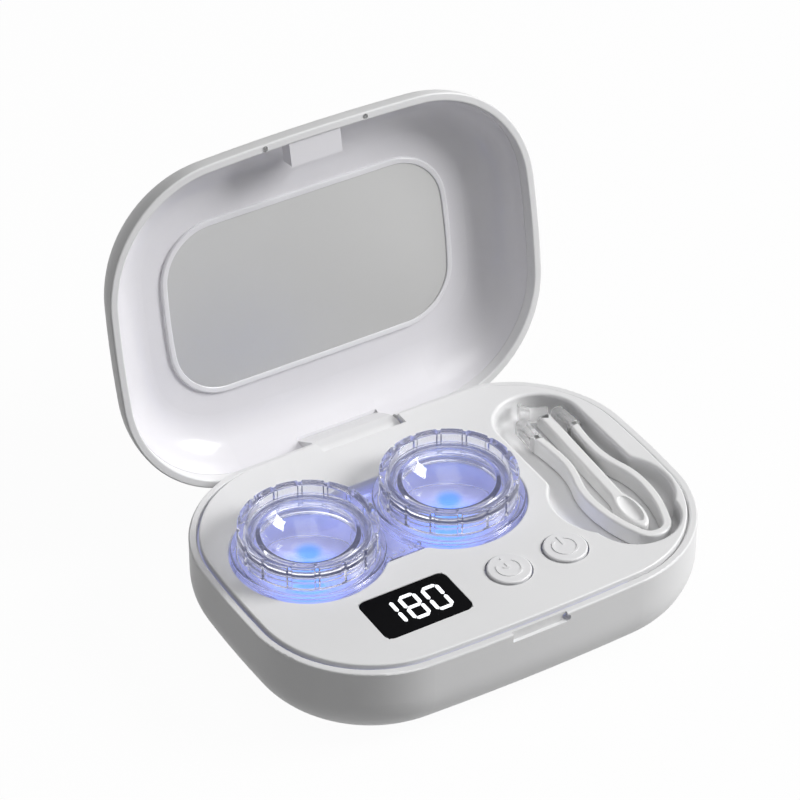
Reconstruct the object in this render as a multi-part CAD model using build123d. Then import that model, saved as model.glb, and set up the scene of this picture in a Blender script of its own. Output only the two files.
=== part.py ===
"""Contact lens cleaner: a shallow oval case with a mirror lid, a lit well for a two-cup lens case,
two keys, a digit display and a recess for tweezers and an applicator stick.

Frame: millimetres, +Z up, +Y to the hinge, origin at the middle of the foot pad's underside.
Every moving piece is written where it stands with the lid open and everything else at rest.
"""

from build123d import *
import math
import os

# ---- case outline: side, corner and end arcs, all tangent ----
half_length = 50.0
half_width = 37.0
side_radius = 530.0
corner_radius = 26.7
end_radius = 252.0

# ---- tub ----
base_height = 19.5
base_round = 11.5
shell_wall = 1.7
floor_thickness = 1.8
rim_edge_round = 0.4
ledge_depth = 2.25
ledge_height = 1.5
ledge_reach = 1.3

# ---- foot pad ----
pad_proud = 0.5
pad_sink = 0.6
pad_inset = 13.0
pad_gap = 0.15

# ---- deck ----
deck_rise = 0.65
deck_inset = 2.15
deck_thickness = 1.6
deck_edge_round = 0.35
flange_thickness = 1.0
flange_gap = 0.05
skirt_width = 1.3

# ---- lens case and its well ----
cup_gap = 1.5
cups_x = -12.15
cups_y = 5.1
well_depth = 8.0
well_wall = 1.2
well_gap = 0.35
well_floor_round = 0.8
well_edge_round = 0.35
waist_front = 11.0
waist_rear = 13.7
waist_round = 1.6
vent_length = 7.0
vent_height = 1.2
vent_offset = 6.2
vent_drop = 3.0
skirt_radius = 15.7
skirt_wall = 1.2
skirt_top = 1.7
case_lift_gap = 0.3
bowl_radius = 11.3
bowl_wall = 1.3
bowl_round = 5.0
bowl_floor = 1.0
bowl_clearance = 0.7
mouth_height = 6.1
web_thickness = 1.6
web_front = 10.2
web_rear = 10.4
web_nub_count = 4
web_nub_pitch = 2.6
web_nub_size = 1.1
web_nub_height = 0.5

# ---- screw caps and seals ----
cap_wall = 1.35
cap_bottom = 2.25
cap_top = 7.7
cap_bore_gap = 0.35
cap_plate = 0.95
cap_rim_width = 2.0
cap_ledge_drop = 0.5
cap_dish_inset = 1.7
cap_dish_drop = 3.0
cap_dish_step = 0.8
cap_dish_wall = 1.0
cap_edge_round = 0.3
grip_count = 16
grip_width = 1.0
grip_depth = 0.45
seal_height = 0.45
seal_gap = 0.08
seal_inset = 0.15

# ---- display ----
window_length = 19.9
window_width = 12.6
window_round = 1.8
window_thickness = 1.0
window_gap = 0.1
window_x = -18.9
window_y = -20.3
digit_height = 6.9
digit_width = 3.25
digit_pitch = 5.25
digit_stroke = 0.8
digit_shift = -0.3
digit_thickness = 0.12
segment_gap = 0.12
module_length = 19.0
module_width = 11.8
module_gap = 0.15

# ---- keys ----
key_radius = 4.55
key_gap = 0.35
key_rise = 0.55
key_edge_round = 0.35
key_plate = 1.0
key_stem_radius = 1.6
key_flange = 0.6
key_flange_height = 0.8
key_flange_gap = 0.2
key_wall = 1.1
key_travel = 0.5
key_y = -20.45
timer_x = 2.7
power_x = 15.95
icon_radius = 2.5
icon_line = 0.4
icon_height = 0.14

# ---- boards and electrics ----
board_depth = 7.15
board_thickness = 1.2
board_left = -29.5
board_right = 21.0
board_front = -28.0
board_rear = -13.3
switch_size = 6.0
switch_height = 3.5
plunger_radius = 1.6
plunger_proud = 1.0
plunger_gap = 0.1
post_radius = 2.0
post_places = [(-5.4, -25.4), (-5.4, -16.0), (9.3, -26.0)]
board_screw_radius = 0.8
board_screw_head = 1.5
board_screw_head_height = 1.0
board_screw_bite = 3.5
screw_slack = 0.05
light_radius = 3.5
light_flange = 0.8
light_gap = 0.1
disc_outer = 10.0
disc_inner = 4.6
disc_thickness = 2.0
led_board_width = 9.0
led_board_margin = 8.0
led_board_thickness = 1.2
led_size = 3.4
led_height = 1.4
battery_length = 34.0
battery_width = 22.0
battery_height = 4.6
battery_round = 1.5
battery_gap = 0.1
socket_width = 8.94
socket_height = 3.2
socket_depth = 7.3
socket_wall = 0.3
socket_z = 9.6
socket_sink = 0.6
socket_back = 0.8
tongue_inset = 1.3
tongue_height = 0.7
tongue_sink = 0.9
port_gap = 0.3
charge_board_length = 12.0
charge_board_gap = 1.6
charge_board_width = 14.0
charge_board_thickness = 1.0
charge_post_radius = 1.6
magnet_length = 10.0
magnet_width = 2.8
magnet_height = 1.4
base_magnet_inset = 5.3
magnet_pocket_wall = 0.7

# ---- case screws ----
screw_x = 33.5
screw_y = 16.5
boss_radius = 2.4
tub_post_radius = 3.1
tub_post_height = 3.2
screw_radius = 1.0
screw_head_radius = 1.8
screw_head_height = 1.3
screw_head_sink = 0.3
screw_length = 8.0

# ---- tool recess ----
recess_end_margin = 16.1
recess_half_width = 9.4
recess_front_margin = 9.2
recess_rear_margin = 10.2
bulge_shift = -0.3
bulge_y = -10.5
bulge_radius = 12.8
bulge_round = 3.0
recess_depth = 5.45
recess_wall = 1.2
recess_floor_round = 1.8
recess_edge_round = 0.7

# ---- tweezers ----
tweezers_shift = 2.3
tip_margin = 11.4
tip_spread = 4.75
neck_run = 9.8
neck_spread = 3.85
belly_run = 15.8
belly_spread = 6.25
bow_margin = 3.6
bow_radius = 3.6
arm_width = 1.9
arm_height = 3.7
arm_round = 0.5
tool_lift_gap = 0.3
sleeve_length = 7.0
sleeve_overlap = 1.4
sleeve_width = 2.7
sleeve_height = 3.9
sleeve_lean = 3.0
sleeve_round = 0.8

# ---- applicator stick and suction cup ----
stick_top_shift = 3.7
stick_top_margin = 5.2
stick_end_shift = 1.65
stick_end_margin = 7.5
stick_width = 2.8
stick_height = 2.9
stick_round = 0.7
spoon_width = 5.1
spoon_length = 12.0
spoon_neck_round = 8.0
spoon_lip = 0.75
spoon_dip = 0.9
sucker_radius = 2.6
sucker_length = 5.2
sucker_neck = 1.65
sucker_wall = 0.6
sucker_lean = 65.0
sucker_overlap = 1.0

# ---- hinge ----
hinge_inset = 2.6
hinge_drop = 3.2
closed_gap = 0.25
lid_open_angle = 100.27
knuckle_half = 9.6
knuckle_side_gap = 0.35
knuckle_radius = 2.55
knuckle_gap = 0.45
arm_top = 5.8
arm_back_inset = 0.1
arm_front_top = 2.5
pin_radius = 1.0
pin_running_gap = 0.05
cheek_width = 3.2
trough_drop = 3.65
pocket_wall = 1.2

# ---- lid ----
lid_height = 12.2
lid_round = 12.0
lid_skin = 1.0
liner_skin = 0.85
liner_gap = 0.05
lid_rim_width = 1.8
lid_rim_depth = 2.4
lid_edge_round = 0.35
slot_width = 0.8
slot_depth = 1.1
slot_height = 2.0

# ---- mirror ----
mirror_half_length = 34.6
mirror_half_width = 20.3
mirror_corner_radius = 13.1
mirror_end_radius = 145.0
mirror_side_radius = 4000.0
bezel_width = 1.9
bezel_rise = 0.7
bezel_round = 0.3
bezel_lap = 0.6
mirror_sink = 0.3
mirror_gap = 0.05

# ---- latch magnet, bumper and thumb notch ----
block_half = 5.9
block_reach = 5.2
block_height = 3.4
block_rise = 0.5
block_edge_round = 0.25
block_gap = 0.1
bumper_x = 11.6
bumper_inset = 1.1
bumper_radius = 0.6
bumper_depth = 1.0
bumper_proud = 0.12
notch_left = -6.6
notch_right = 6.0
notch_depth = 0.8
notch_height = 2.1
notch_hole_radius = 0.75
notch_hole_drop = 1.25
notch_hole_depth = 1.9

# ---- heights that the rest is set out from ----
shell_bottom = pad_proud
rim_z = shell_bottom + base_height
deck_top = rim_z + deck_rise
deck_under = deck_top - deck_thickness
well_floor = rim_z - well_depth
recess_floor = deck_top - recess_depth
floor_top = shell_bottom + floor_thickness
hinge_y = half_width - hinge_inset
hinge_z = rim_z - hinge_drop
lid_z = rim_z + closed_gap
board_top = rim_z - board_depth
board_under = board_top - board_thickness
well_radius = skirt_radius + well_gap
cup_pitch = 2 * skirt_radius + cup_gap
cap_radius = bowl_radius + bowl_wall + cap_bore_gap + cap_wall
cap_dish_radius = bowl_radius - cap_dish_inset
base_magnet_y = -half_width + base_magnet_inset
recess_x = half_length - recess_end_margin
recess_front = -half_width + recess_front_margin
recess_rear = half_width - recess_rear_margin
bulge_x = recess_x + bulge_shift
tweezers_x = recess_x + tweezers_shift
tip_y = recess_rear - tip_margin
neck_y = tip_y - neck_run
bow_y = recess_front + bow_margin
belly_y = bow_y + belly_run
stick_top = (recess_x + stick_top_shift, recess_rear - stick_top_margin)
stick_end = (recess_x + stick_end_shift, recess_front + stick_end_margin)
cup_places = [(cups_x - cup_pitch / 2, cups_y), (cups_x + cup_pitch / 2, cups_y)]
screw_places = [(sx * screw_x, sy * screw_y) for sx in (-1, 1) for sy in (-1, 1)]
LOW = (Align.CENTER, Align.CENTER, Align.MIN)


# ---- helpers ----
def three_arc_face(a, b, side, corner, end):
    """Face of an oval from side, corner and end arcs that run into each other."""
    side_centre = Vector(0, b - side)
    end_centre = Vector(a - end, 0)
    reach_side = side - corner
    reach_end = end - corner
    apart = (end_centre - side_centre).length
    along = (reach_side**2 - reach_end**2 + apart**2) / (2 * apart)
    across = math.sqrt(reach_side**2 - along**2)
    unit = (end_centre - side_centre) / apart
    corner_centre = side_centre + unit * along + Vector(unit.Y, -unit.X) * across
    from_end = corner_centre - end_centre
    from_side = corner_centre - side_centre
    t_end = math.degrees(math.atan2(from_end.Y, from_end.X))
    t_side = math.degrees(math.atan2(from_side.Y, from_side.X))
    span = t_side - t_end
    cx = corner_centre.X
    cy = corner_centre.Y
    arcs = [
        CenterArc((a - end, 0), end, -t_end, 2 * t_end),
        CenterArc((cx, cy), corner, t_end, span),
        CenterArc((0, b - side), side, t_side, 180 - 2 * t_side),
        CenterArc((-cx, cy), corner, 180 - t_side, span),
        CenterArc((end - a, 0), end, 180 - t_end, 2 * t_end),
        CenterArc((-cx, -cy), corner, 180 + t_end, span),
        CenterArc((0, side - b), side, 180 + t_side, 180 - 2 * t_side),
        CenterArc((cx, -cy), corner, 360 - t_side, span),
    ]
    return make_face(Curve() + arcs)


def oval(inset):
    """Case outline drawn in by inset."""
    return three_arc_face(
        half_length - inset,
        half_width - inset,
        side_radius - inset,
        corner_radius - inset,
        end_radius - inset,
    )


def mirror_oval(inset):
    """Mirror frame outline drawn in by inset."""
    return three_arc_face(
        mirror_half_length - inset,
        mirror_half_width - inset,
        mirror_side_radius - inset,
        mirror_corner_radius - inset,
        mirror_end_radius - inset,
    )


def slab(face, low, high):
    """Face pushed up from one height to another."""
    return extrude(Pos(0, 0, low) * face, amount=high - low)


def block(x0, x1, y0, y1, z0, z1):
    """Box between two corners."""
    size = (x1 - x0, y1 - y0, z1 - z0)
    return Pos((x0 + x1) / 2, (y0 + y1) / 2, (z0 + z1) / 2) * Box(*size)


def post(x, y, radius, low, high):
    """Upright cylinder between two heights."""
    return Pos(x, y, low) * Cylinder(radius, high - low, align=LOW)


def rod_x(y, z, radius, half):
    """Cylinder along X, centred on X = 0."""
    return Pos(0, y, z) * Rot(0, 90, 0) * Cylinder(radius, 2 * half)


def edges_along(part, face):
    """Edges of part that lie on the border of face."""
    border = face.edges()
    found = []
    for edge in part.edges():
        middle = edge @ 0.5
        if min(line.distance_to(middle) for line in border) < 0.005:
            found.append(edge)
    return found


def one(parts):
    """Group of separate solids as one node."""
    return Compound(children=[solid for part in parts for solid in part.solids()])


def opened(part):
    """Piece of the closed lid, swung open on the hinge."""
    axis = Axis((0, hinge_y, hinge_z), (1, 0, 0))
    return part.rotate(axis, -lid_open_angle)


# ---- well and recess outlines, shared by the deck and what lies in them ----
def lens_well_face(grow):
    """Two round cups' wells and the waist between them."""
    radius = well_radius + grow
    face = Sketch()
    for x, y in cup_places:
        face += Pos(x, y) * Circle(radius)
    front = cups_y - waist_front - grow
    rear = cups_y + waist_rear + grow
    waist = Rectangle(cup_pitch, rear - front)
    face += Pos(cups_x, (front + rear) / 2) * waist
    corners = [v for v in face.vertices() if min(abs(v.Y - front), abs(v.Y - rear)) < 0.01]
    return fillet(corners, waist_round)


def recess_face(grow):
    """Long tool recess with a thumb bulge on each side."""
    length = recess_rear - recess_front
    middle = (recess_rear + recess_front) / 2
    slot = SlotOverall(length + 2 * grow, 2 * (recess_half_width + grow), rotation=90)
    face = Pos(recess_x, middle) * slot
    face += Pos(bulge_x, bulge_y) * Circle(bulge_radius + grow)
    corners = []
    for v in face.vertices():
        reach = math.hypot(v.X - bulge_x, v.Y - bulge_y)
        side = abs(abs(v.X - recess_x) - recess_half_width - grow)
        if abs(reach - bulge_radius - grow) < 0.01 and side < 0.01:
            corners.append(v)
    return fillet(corners, bulge_round)


# ---- base ----
def make_base_shell():
    outer = slab(oval(0), shell_bottom, rim_z)
    outer = fillet(outer.faces().sort_by(Axis.Z)[0].edges(), base_round)
    inner = slab(oval(shell_wall), floor_top, rim_z + 1)
    inner = fillet(inner.faces().sort_by(Axis.Z)[0].edges(), base_round - shell_wall)
    shell = outer - inner
    shell = fillet(shell.faces().sort_by(Axis.Z)[-1].edges(), rim_edge_round)
    ledge_top = rim_z - ledge_depth
    ledge = oval(shell_wall - 0.2) - oval(shell_wall + ledge_reach)
    ledge -= recess_face(recess_wall + port_gap)
    shell += slab(ledge, ledge_top - ledge_height, ledge_top)
    for x, y in screw_places:
        shell += post(x, y, tub_post_radius, floor_top - 0.5, floor_top + tub_post_height)
    # hinge pocket
    inside = hinge_y - knuckle_radius - knuckle_gap
    pocket_half = knuckle_half + knuckle_side_gap + cheek_width
    trough_half = knuckle_half + knuckle_side_gap
    trough_floor = hinge_z - trough_drop
    pocket = block(
        -pocket_half,
        pocket_half,
        inside - pocket_wall,
        half_width + 1,
        trough_floor - pocket_wall,
        deck_under - flange_gap,
    )
    shell += pocket & outer
    shell -= block(-trough_half, trough_half, inside, half_width + 1, trough_floor, rim_z + 1)
    shell -= rod_x(hinge_y, hinge_z, pin_radius, pocket_half - pocket_wall)
    # rear edge is round about the hinge, so that the lid's edge can swing past it
    relief = block(-half_length, half_length, hinge_y, half_width + 1, hinge_z, rim_z + 1)
    shell -= relief - rod_x(hinge_y, hinge_z, hinge_drop, half_length + 1)
    # thumb notch in the front rim
    notch_y = -half_width + notch_depth
    shell -= block(notch_left, notch_right, -half_width - 1, notch_y, rim_z - notch_height, rim_z + 1)
    hole_z = rim_z - notch_hole_drop
    hole = Rot(90, 0, 0) * Cylinder(notch_hole_radius, 2 * notch_hole_depth)
    shell -= Pos(notch_right, -half_width, hole_z) * hole
    # charging port
    port = RectangleRounded(
        socket_width + 2 * port_gap,
        socket_height + 2 * port_gap,
        socket_height / 2 + port_gap - 0.01,
    )
    shell -= extrude(port_plane(0) * port, amount=3 * shell_wall, both=True)
    for y in (-1, 1):
        x, y = charge_post_place(y)
        shell += post(x, y, charge_post_radius, floor_top - 0.5, charge_board_under()) & outer
    # foot pad recess and screw holes
    shell -= slab(oval(pad_inset - pad_gap), shell_bottom - 1, shell_bottom + pad_sink)
    for x, y in screw_places:
        head_top = shell_bottom + pad_sink + screw_head_sink + screw_head_height
        shell -= post(x, y, screw_head_radius + screw_slack, shell_bottom - 1, head_top)
        shell -= post(x, y, screw_radius + screw_slack, shell_bottom, rim_z)
    return shell


def port_plane(sink):
    """Plane of the charging port's mouth, sunk below the end of the case."""
    centre = (half_length - sink, 0, rim_z - socket_z)
    return Plane(origin=centre, x_dir=(0, 1, 0), z_dir=(1, 0, 0))


def charge_board_under():
    """Height of the charging board's underside."""
    return rim_z - socket_z - socket_height / 2 - charge_board_thickness


def charge_post_place(side):
    """Place of one of the two posts under the charging board."""
    x = half_length - shell_wall - charge_board_length + charge_post_radius
    return x, side * (charge_board_width / 2 - charge_post_radius)


def make_foot_pad():
    pad = slab(oval(pad_inset), 0, pad_proud + pad_sink)
    return fillet(pad.faces().sort_by(Axis.Z)[0].edges(), pad_proud * 0.6)


def make_case_screws():
    head_low = shell_bottom + pad_sink + screw_head_sink
    screws = []
    for x, y in screw_places:
        screw = post(x, y, screw_head_radius, head_low, head_low + screw_head_height)
        screw += post(x, y, screw_radius, head_low, head_low + screw_head_height + screw_length)
        slot = block(
            x - screw_head_radius,
            x + screw_head_radius,
            y - screw_slack * 5,
            y + screw_slack * 5,
            head_low - 1,
            head_low + screw_head_height / 2,
        )
        screws.append(screw - slot)
    return one(screws)


def make_deck_panel():
    flange_top = rim_z - ledge_depth + flange_gap + flange_thickness
    flange_low = rim_z - ledge_depth + flange_gap
    deck = slab(oval(deck_inset), deck_under, deck_top)
    deck = fillet(edges_along(deck, Pos(0, 0, deck_top) * oval(deck_inset)), deck_edge_round)
    inner = oval(deck_inset + skirt_width)
    deck += slab(oval(deck_inset) - inner, flange_low, deck_under + 0.1)
    deck += slab(oval(shell_wall + flange_gap) - inner, flange_low, flange_top)
    deck += slab(lens_well_face(well_wall), well_floor - well_wall, deck_under + 0.1)
    deck += slab(recess_face(recess_wall), recess_floor - recess_wall, deck_under + 0.1)
    # bosses for the case screws and posts for the board
    boss_low = floor_top + tub_post_height + flange_gap
    for x, y in screw_places:
        deck += post(x, y, boss_radius, boss_low, deck_under + 0.1)
    for x, y in post_places:
        deck += post(x, y, post_radius, board_top, deck_under + 0.1)
    # magnet pocket
    pocket_z = deck_under - magnet_height
    reach = magnet_length / 2 + magnet_pocket_wall
    side = magnet_width / 2 + magnet_pocket_wall
    deck += block(-reach, reach, base_magnet_y - side, base_magnet_y + side, pocket_z, deck_under + 0.1)
    deck -= magnet(base_magnet_y, deck_under - magnet_height, 0.05)
    # hollows
    well = slab(lens_well_face(0), well_floor, deck_top + 1)
    deck -= fillet(well.faces().sort_by(Axis.Z)[0].edges(), well_floor_round)
    recess = slab(recess_face(0), recess_floor, deck_top + 1)
    deck -= fillet(recess.faces().sort_by(Axis.Z)[0].edges(), recess_floor_round)
    deck = fillet(edges_along(deck, Pos(0, 0, deck_top) * recess_face(0)), recess_edge_round)
    deck = fillet(edges_along(deck, Pos(0, 0, deck_top) * lens_well_face(0)), well_edge_round)
    # openings for window, keys, lights and the vent in the well's rear wall
    window = RectangleRounded(
        window_length + 2 * window_gap, window_width + 2 * window_gap, window_round + window_gap
    )
    seat = deck_top - window_thickness
    deck -= slab(Pos(window_x, window_y) * window, seat, deck_top + 1)
    module = Rectangle(module_length + 2 * module_gap, module_width + 2 * module_gap)
    deck -= slab(Pos(window_x, window_y) * module, deck_under - 1, deck_top)
    for x in (timer_x, power_x):
        deck -= post(x, key_y, key_radius + key_gap, deck_under - 1, deck_top + 1)
    for x, y in cup_places:
        deck -= post(x, y, light_radius + light_gap, well_floor - well_wall - 1, well_floor + 1)
    vent_x = cups_x + vent_offset
    vent_y = cups_y + waist_rear
    vent_z = well_floor + well_depth - vent_drop
    deck -= block(
        vent_x - vent_length / 2,
        vent_x + vent_length / 2,
        vent_y - 1,
        vent_y + well_wall + 1,
        vent_z,
        vent_z + vent_height,
    )
    # screw bores
    for x, y in screw_places:
        deck -= post(x, y, screw_radius + screw_slack, boss_low - 1, boss_low + screw_length)
    for x, y in post_places:
        deck -= post(x, y, board_screw_radius + screw_slack, board_top - 1, board_top + board_screw_bite)
    # room for the hinge pocket
    inside = hinge_y - knuckle_radius - knuckle_gap
    pocket_half = knuckle_half + knuckle_side_gap + cheek_width
    trough_half = knuckle_half + knuckle_side_gap
    front = inside - pocket_wall - 2 * flange_gap
    side = pocket_half + 2 * flange_gap
    deck -= block(-side, side, front, half_width, flange_low - 1, deck_under)
    deck -= block(-trough_half, trough_half, inside, half_width, deck_under - 1, deck_top + 1)
    return deck


def magnet(y, z, grow):
    """Bar magnet with its underside at z, grown by grow on its sides."""
    return block(
        -magnet_length / 2 - grow,
        magnet_length / 2 + grow,
        y - magnet_width / 2 - grow,
        y + magnet_width / 2 + grow,
        z - grow,
        z + magnet_height,
    )


def make_base_magnet():
    return magnet(base_magnet_y, deck_under - magnet_height, 0)


# ---- display ----
def make_display_window():
    face = Pos(window_x, window_y) * RectangleRounded(window_length, window_width, window_round)
    glass = slab(face, deck_top - window_thickness, deck_top)
    return fillet(edges_along(glass, Pos(0, 0, deck_top) * face), 0.15)


def segment(x, y, length, upright):
    """One lit bar with pointed ends, lying on the window."""
    half = length / 2 - segment_gap
    side = digit_stroke / 2
    corners = [
        (-half, 0),
        (side - half, side),
        (half - side, side),
        (half, 0),
        (half - side, -side),
        (side - half, -side),
    ]
    face = make_face(Polyline(*corners, close=True))
    turn = 90 if upright else 0
    place = Pos(x, y, deck_top) * Rot(0, 0, turn)
    return extrude(place * face, amount=digit_thickness)


def make_display_digits():
    """Plain figures: 1, 8 and 0."""
    bars = {"1": "bc", "8": "abcdefg", "0": "abcdef"}
    half_w = digit_width / 2
    half_h = digit_height / 2
    layout = {
        "a": (0, half_h, False),
        "b": (half_w, half_h / 2, True),
        "c": (half_w, -half_h / 2, True),
        "d": (0, -half_h, False),
        "e": (-half_w, -half_h / 2, True),
        "f": (-half_w, half_h / 2, True),
        "g": (0, 0, False),
    }
    solids = []
    for place, figure in zip((-1, 0, 1), "180"):
        x = window_x + digit_shift + place * digit_pitch
        for bar in bars[figure]:
            dx, dy, upright = layout[bar]
            length = half_h if upright else digit_width
            solids.append(segment(x + dx, window_y + dy, length, upright))
    return one(solids)


def make_display_module():
    face = Rectangle(module_length, module_width)
    top = deck_top - window_thickness
    return slab(Pos(window_x, window_y) * face, board_top, top)


# ---- boards ----
def make_main_board():
    board = block(board_left, board_right, board_front, board_rear, board_under, board_top)
    for x, y in post_places:
        board -= post(x, y, board_screw_radius + screw_slack, board_under - 1, board_top + 1)
    return board


def make_board_screws():
    screws = []
    for x, y in post_places:
        low = board_under - board_screw_head_height
        screw = post(x, y, board_screw_head, low, board_under)
        screw += post(x, y, board_screw_radius, low, board_top + board_screw_bite - screw_slack)
        screws.append(screw)
    return one(screws)


def make_tact_switches():
    switches = []
    for x in (timer_x, power_x):
        half = switch_size / 2
        switch = block(
            x - half, x + half, key_y - half, key_y + half, board_top, board_top + switch_height
        )
        bore_low = board_top + switch_height - plunger_sink()
        switch -= post(x, key_y, plunger_radius + plunger_gap, bore_low, rim_z)
        switches.append(switch)
    return one(switches)


def plunger_sink():
    """Depth of the bore that a switch plunger slides in."""
    return 2 * key_travel + 2 * plunger_gap


def make_plunger(x):
    top = board_top + switch_height
    low = top - plunger_sink() + key_travel + plunger_gap
    return post(x, key_y, plunger_radius, low, top + plunger_proud)


def make_key(x):
    """Key cap with a flange that holds it under the deck, and a stem on the switch."""
    top = deck_top + key_rise
    flange_top = deck_under - key_flange_gap
    low = flange_top - key_flange_height
    cap = post(x, key_y, key_radius, low, top)
    cap = fillet(cap.faces().sort_by(Axis.Z)[-1].edges(), key_edge_round)
    cap += post(x, key_y, key_radius + key_gap + key_flange, low, flange_top)
    cap -= post(x, key_y, key_radius - key_wall, low - 1, top - key_plate)
    stem_low = board_top + switch_height + plunger_proud
    return cap + post(x, key_y, key_stem_radius, stem_low, top - key_plate + 0.1)


def icon_arc(x, start, size):
    """Raised arc of a key symbol."""
    outer = CenterArc((0, 0), icon_radius + icon_line / 2, start, size)
    inner = CenterArc((0, 0), icon_radius - icon_line / 2, start, size)
    ends = [Line(outer @ 0, inner @ 0), Line(outer @ 1, inner @ 1)]
    face = make_face(Curve() + [outer, inner] + ends)
    top = deck_top + key_rise
    return extrude(Pos(x, key_y, top) * face, amount=icon_height)


def icon_bar(x, x0, y0, length, turn):
    """Raised bar of a key symbol, from a point, turned from +Y."""
    top = deck_top + key_rise
    bar = Rectangle(icon_line, length, align=(Align.CENTER, Align.MIN))
    return extrude(Pos(x + x0, key_y + y0, top) * Rot(0, 0, turn) * bar, amount=icon_height)


def make_power_button():
    key = make_key(power_x)
    key += icon_arc(power_x, 115, 310)
    key += icon_bar(power_x, 0, 0.6, 2.6, 0)
    return key


def make_timer_button():
    key = make_key(timer_x)
    key += icon_arc(timer_x, 140, 265)
    key += icon_bar(timer_x, 0, 0, 1.6, 0)
    key += icon_bar(timer_x, 0, 0, 1.2, 60)
    key += icon_bar(timer_x, 0, icon_radius + 0.4, 0.5, 0)
    return key


# ---- light and vibration under the well ----
def make_light_windows():
    windows = []
    for x, y in cup_places:
        low = well_floor - well_wall
        window = post(x, y, light_radius, low, well_floor)
        window += post(x, y, light_radius + light_flange, low - light_flange, low)
        windows.append(window)
    return one(windows)


def make_vibration_discs():
    discs = []
    for x, y in cup_places:
        low = well_floor - well_wall - disc_thickness
        ring = post(x, y, disc_outer, low, low + disc_thickness)
        discs.append(ring - post(x, y, disc_inner, low - 1, low + disc_thickness + 1))
    return one(discs)


def make_led_board():
    top = well_floor - well_wall - disc_thickness
    half = cup_pitch / 2 + led_board_margin
    side = led_board_width / 2
    return block(
        cups_x - half, cups_x + half, cups_y - side, cups_y + side, top - led_board_thickness, top
    )


def make_blue_leds():
    base = well_floor - well_wall - disc_thickness
    leds = []
    for x, y in cup_places:
        half = led_size / 2
        led = block(x - half, x + half, y - half, y + half, base, base + led_height / 2)
        leds.append(led + post(x, y, half * 0.8, base, base + led_height * 0.8))
    return one(leds)


def make_battery():
    face = Pos(cups_x, cups_y) * Rectangle(battery_length, battery_width)
    cell = slab(face, floor_top + battery_gap, floor_top + battery_gap + battery_height)
    return fillet(cell.edges().filter_by(Axis.X), battery_round)


# ---- charging port ----
def make_usb_socket():
    outer = RectangleRounded(socket_width, socket_height, socket_height / 2 - 0.01)
    inner = RectangleRounded(
        socket_width - 2 * socket_wall,
        socket_height - 2 * socket_wall,
        socket_height / 2 - socket_wall - 0.01,
    )
    mouth = port_plane(socket_sink)
    shell = extrude(mouth * outer, amount=-socket_depth)
    shell -= extrude(mouth * inner, amount=-(socket_depth - socket_back))
    tongue = Rectangle(socket_width - 2 * tongue_inset, tongue_height)
    tongue_solid = extrude(mouth.offset(-tongue_sink) * tongue, amount=tongue_sink - socket_depth)
    return shell + tongue_solid


def make_charge_board():
    low = charge_board_under()
    right = half_length - shell_wall - charge_board_gap
    half = charge_board_width / 2
    left = half_length - shell_wall - charge_board_length
    return block(left, right, -half, half, low, low + charge_board_thickness)


# ---- lens case ----
def bowl_depth_z():
    """Height of the bowls' outer bottom."""
    return well_floor + bowl_clearance


def make_lens_case():
    low = well_floor + case_lift_gap
    top = rim_z + skirt_top
    mouth = rim_z + mouth_height
    under = bowl_depth_z()
    outer_bowl = bowl_radius + bowl_wall
    case = None
    hollows = None
    for x, y in cup_places:
        skirt = post(x, y, skirt_radius, low, top)
        skirt = fillet(skirt.faces().sort_by(Axis.Z)[-1].edges(), skirt_wall / 3)
        skirt -= post(x, y, skirt_radius - skirt_wall, low - 1, top - skirt_wall)
        bowl = post(x, y, outer_bowl, under, mouth)
        bowl = fillet(bowl.faces().sort_by(Axis.Z)[0].edges(), bowl_round + bowl_wall)
        hollow = post(x, y, bowl_radius, under + bowl_floor, mouth + 1)
        hollow = fillet(hollow.faces().sort_by(Axis.Z)[0].edges(), bowl_round)
        cup = skirt + bowl
        case = cup if case is None else case + cup
        hollows = hollow if hollows is None else hollows + hollow
    web_low = rim_z - web_thickness
    web = block(
        cup_places[0][0], cup_places[1][0], cups_y - web_front, cups_y + web_rear, web_low, rim_z
    )
    for x, y in cup_places:
        web -= post(x, y, skirt_radius - skirt_wall / 2, web_low - 1, rim_z + 1)
    case += web
    for index in range(web_nub_count):
        x = cups_x + (index - (web_nub_count - 1) / 2) * web_nub_pitch
        half = web_nub_size / 2
        y0 = cups_y - web_front
        case += block(x - half, x + half, y0, y0 + web_nub_size, rim_z - 0.1, rim_z + web_nub_height)
    return case - hollows


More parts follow.
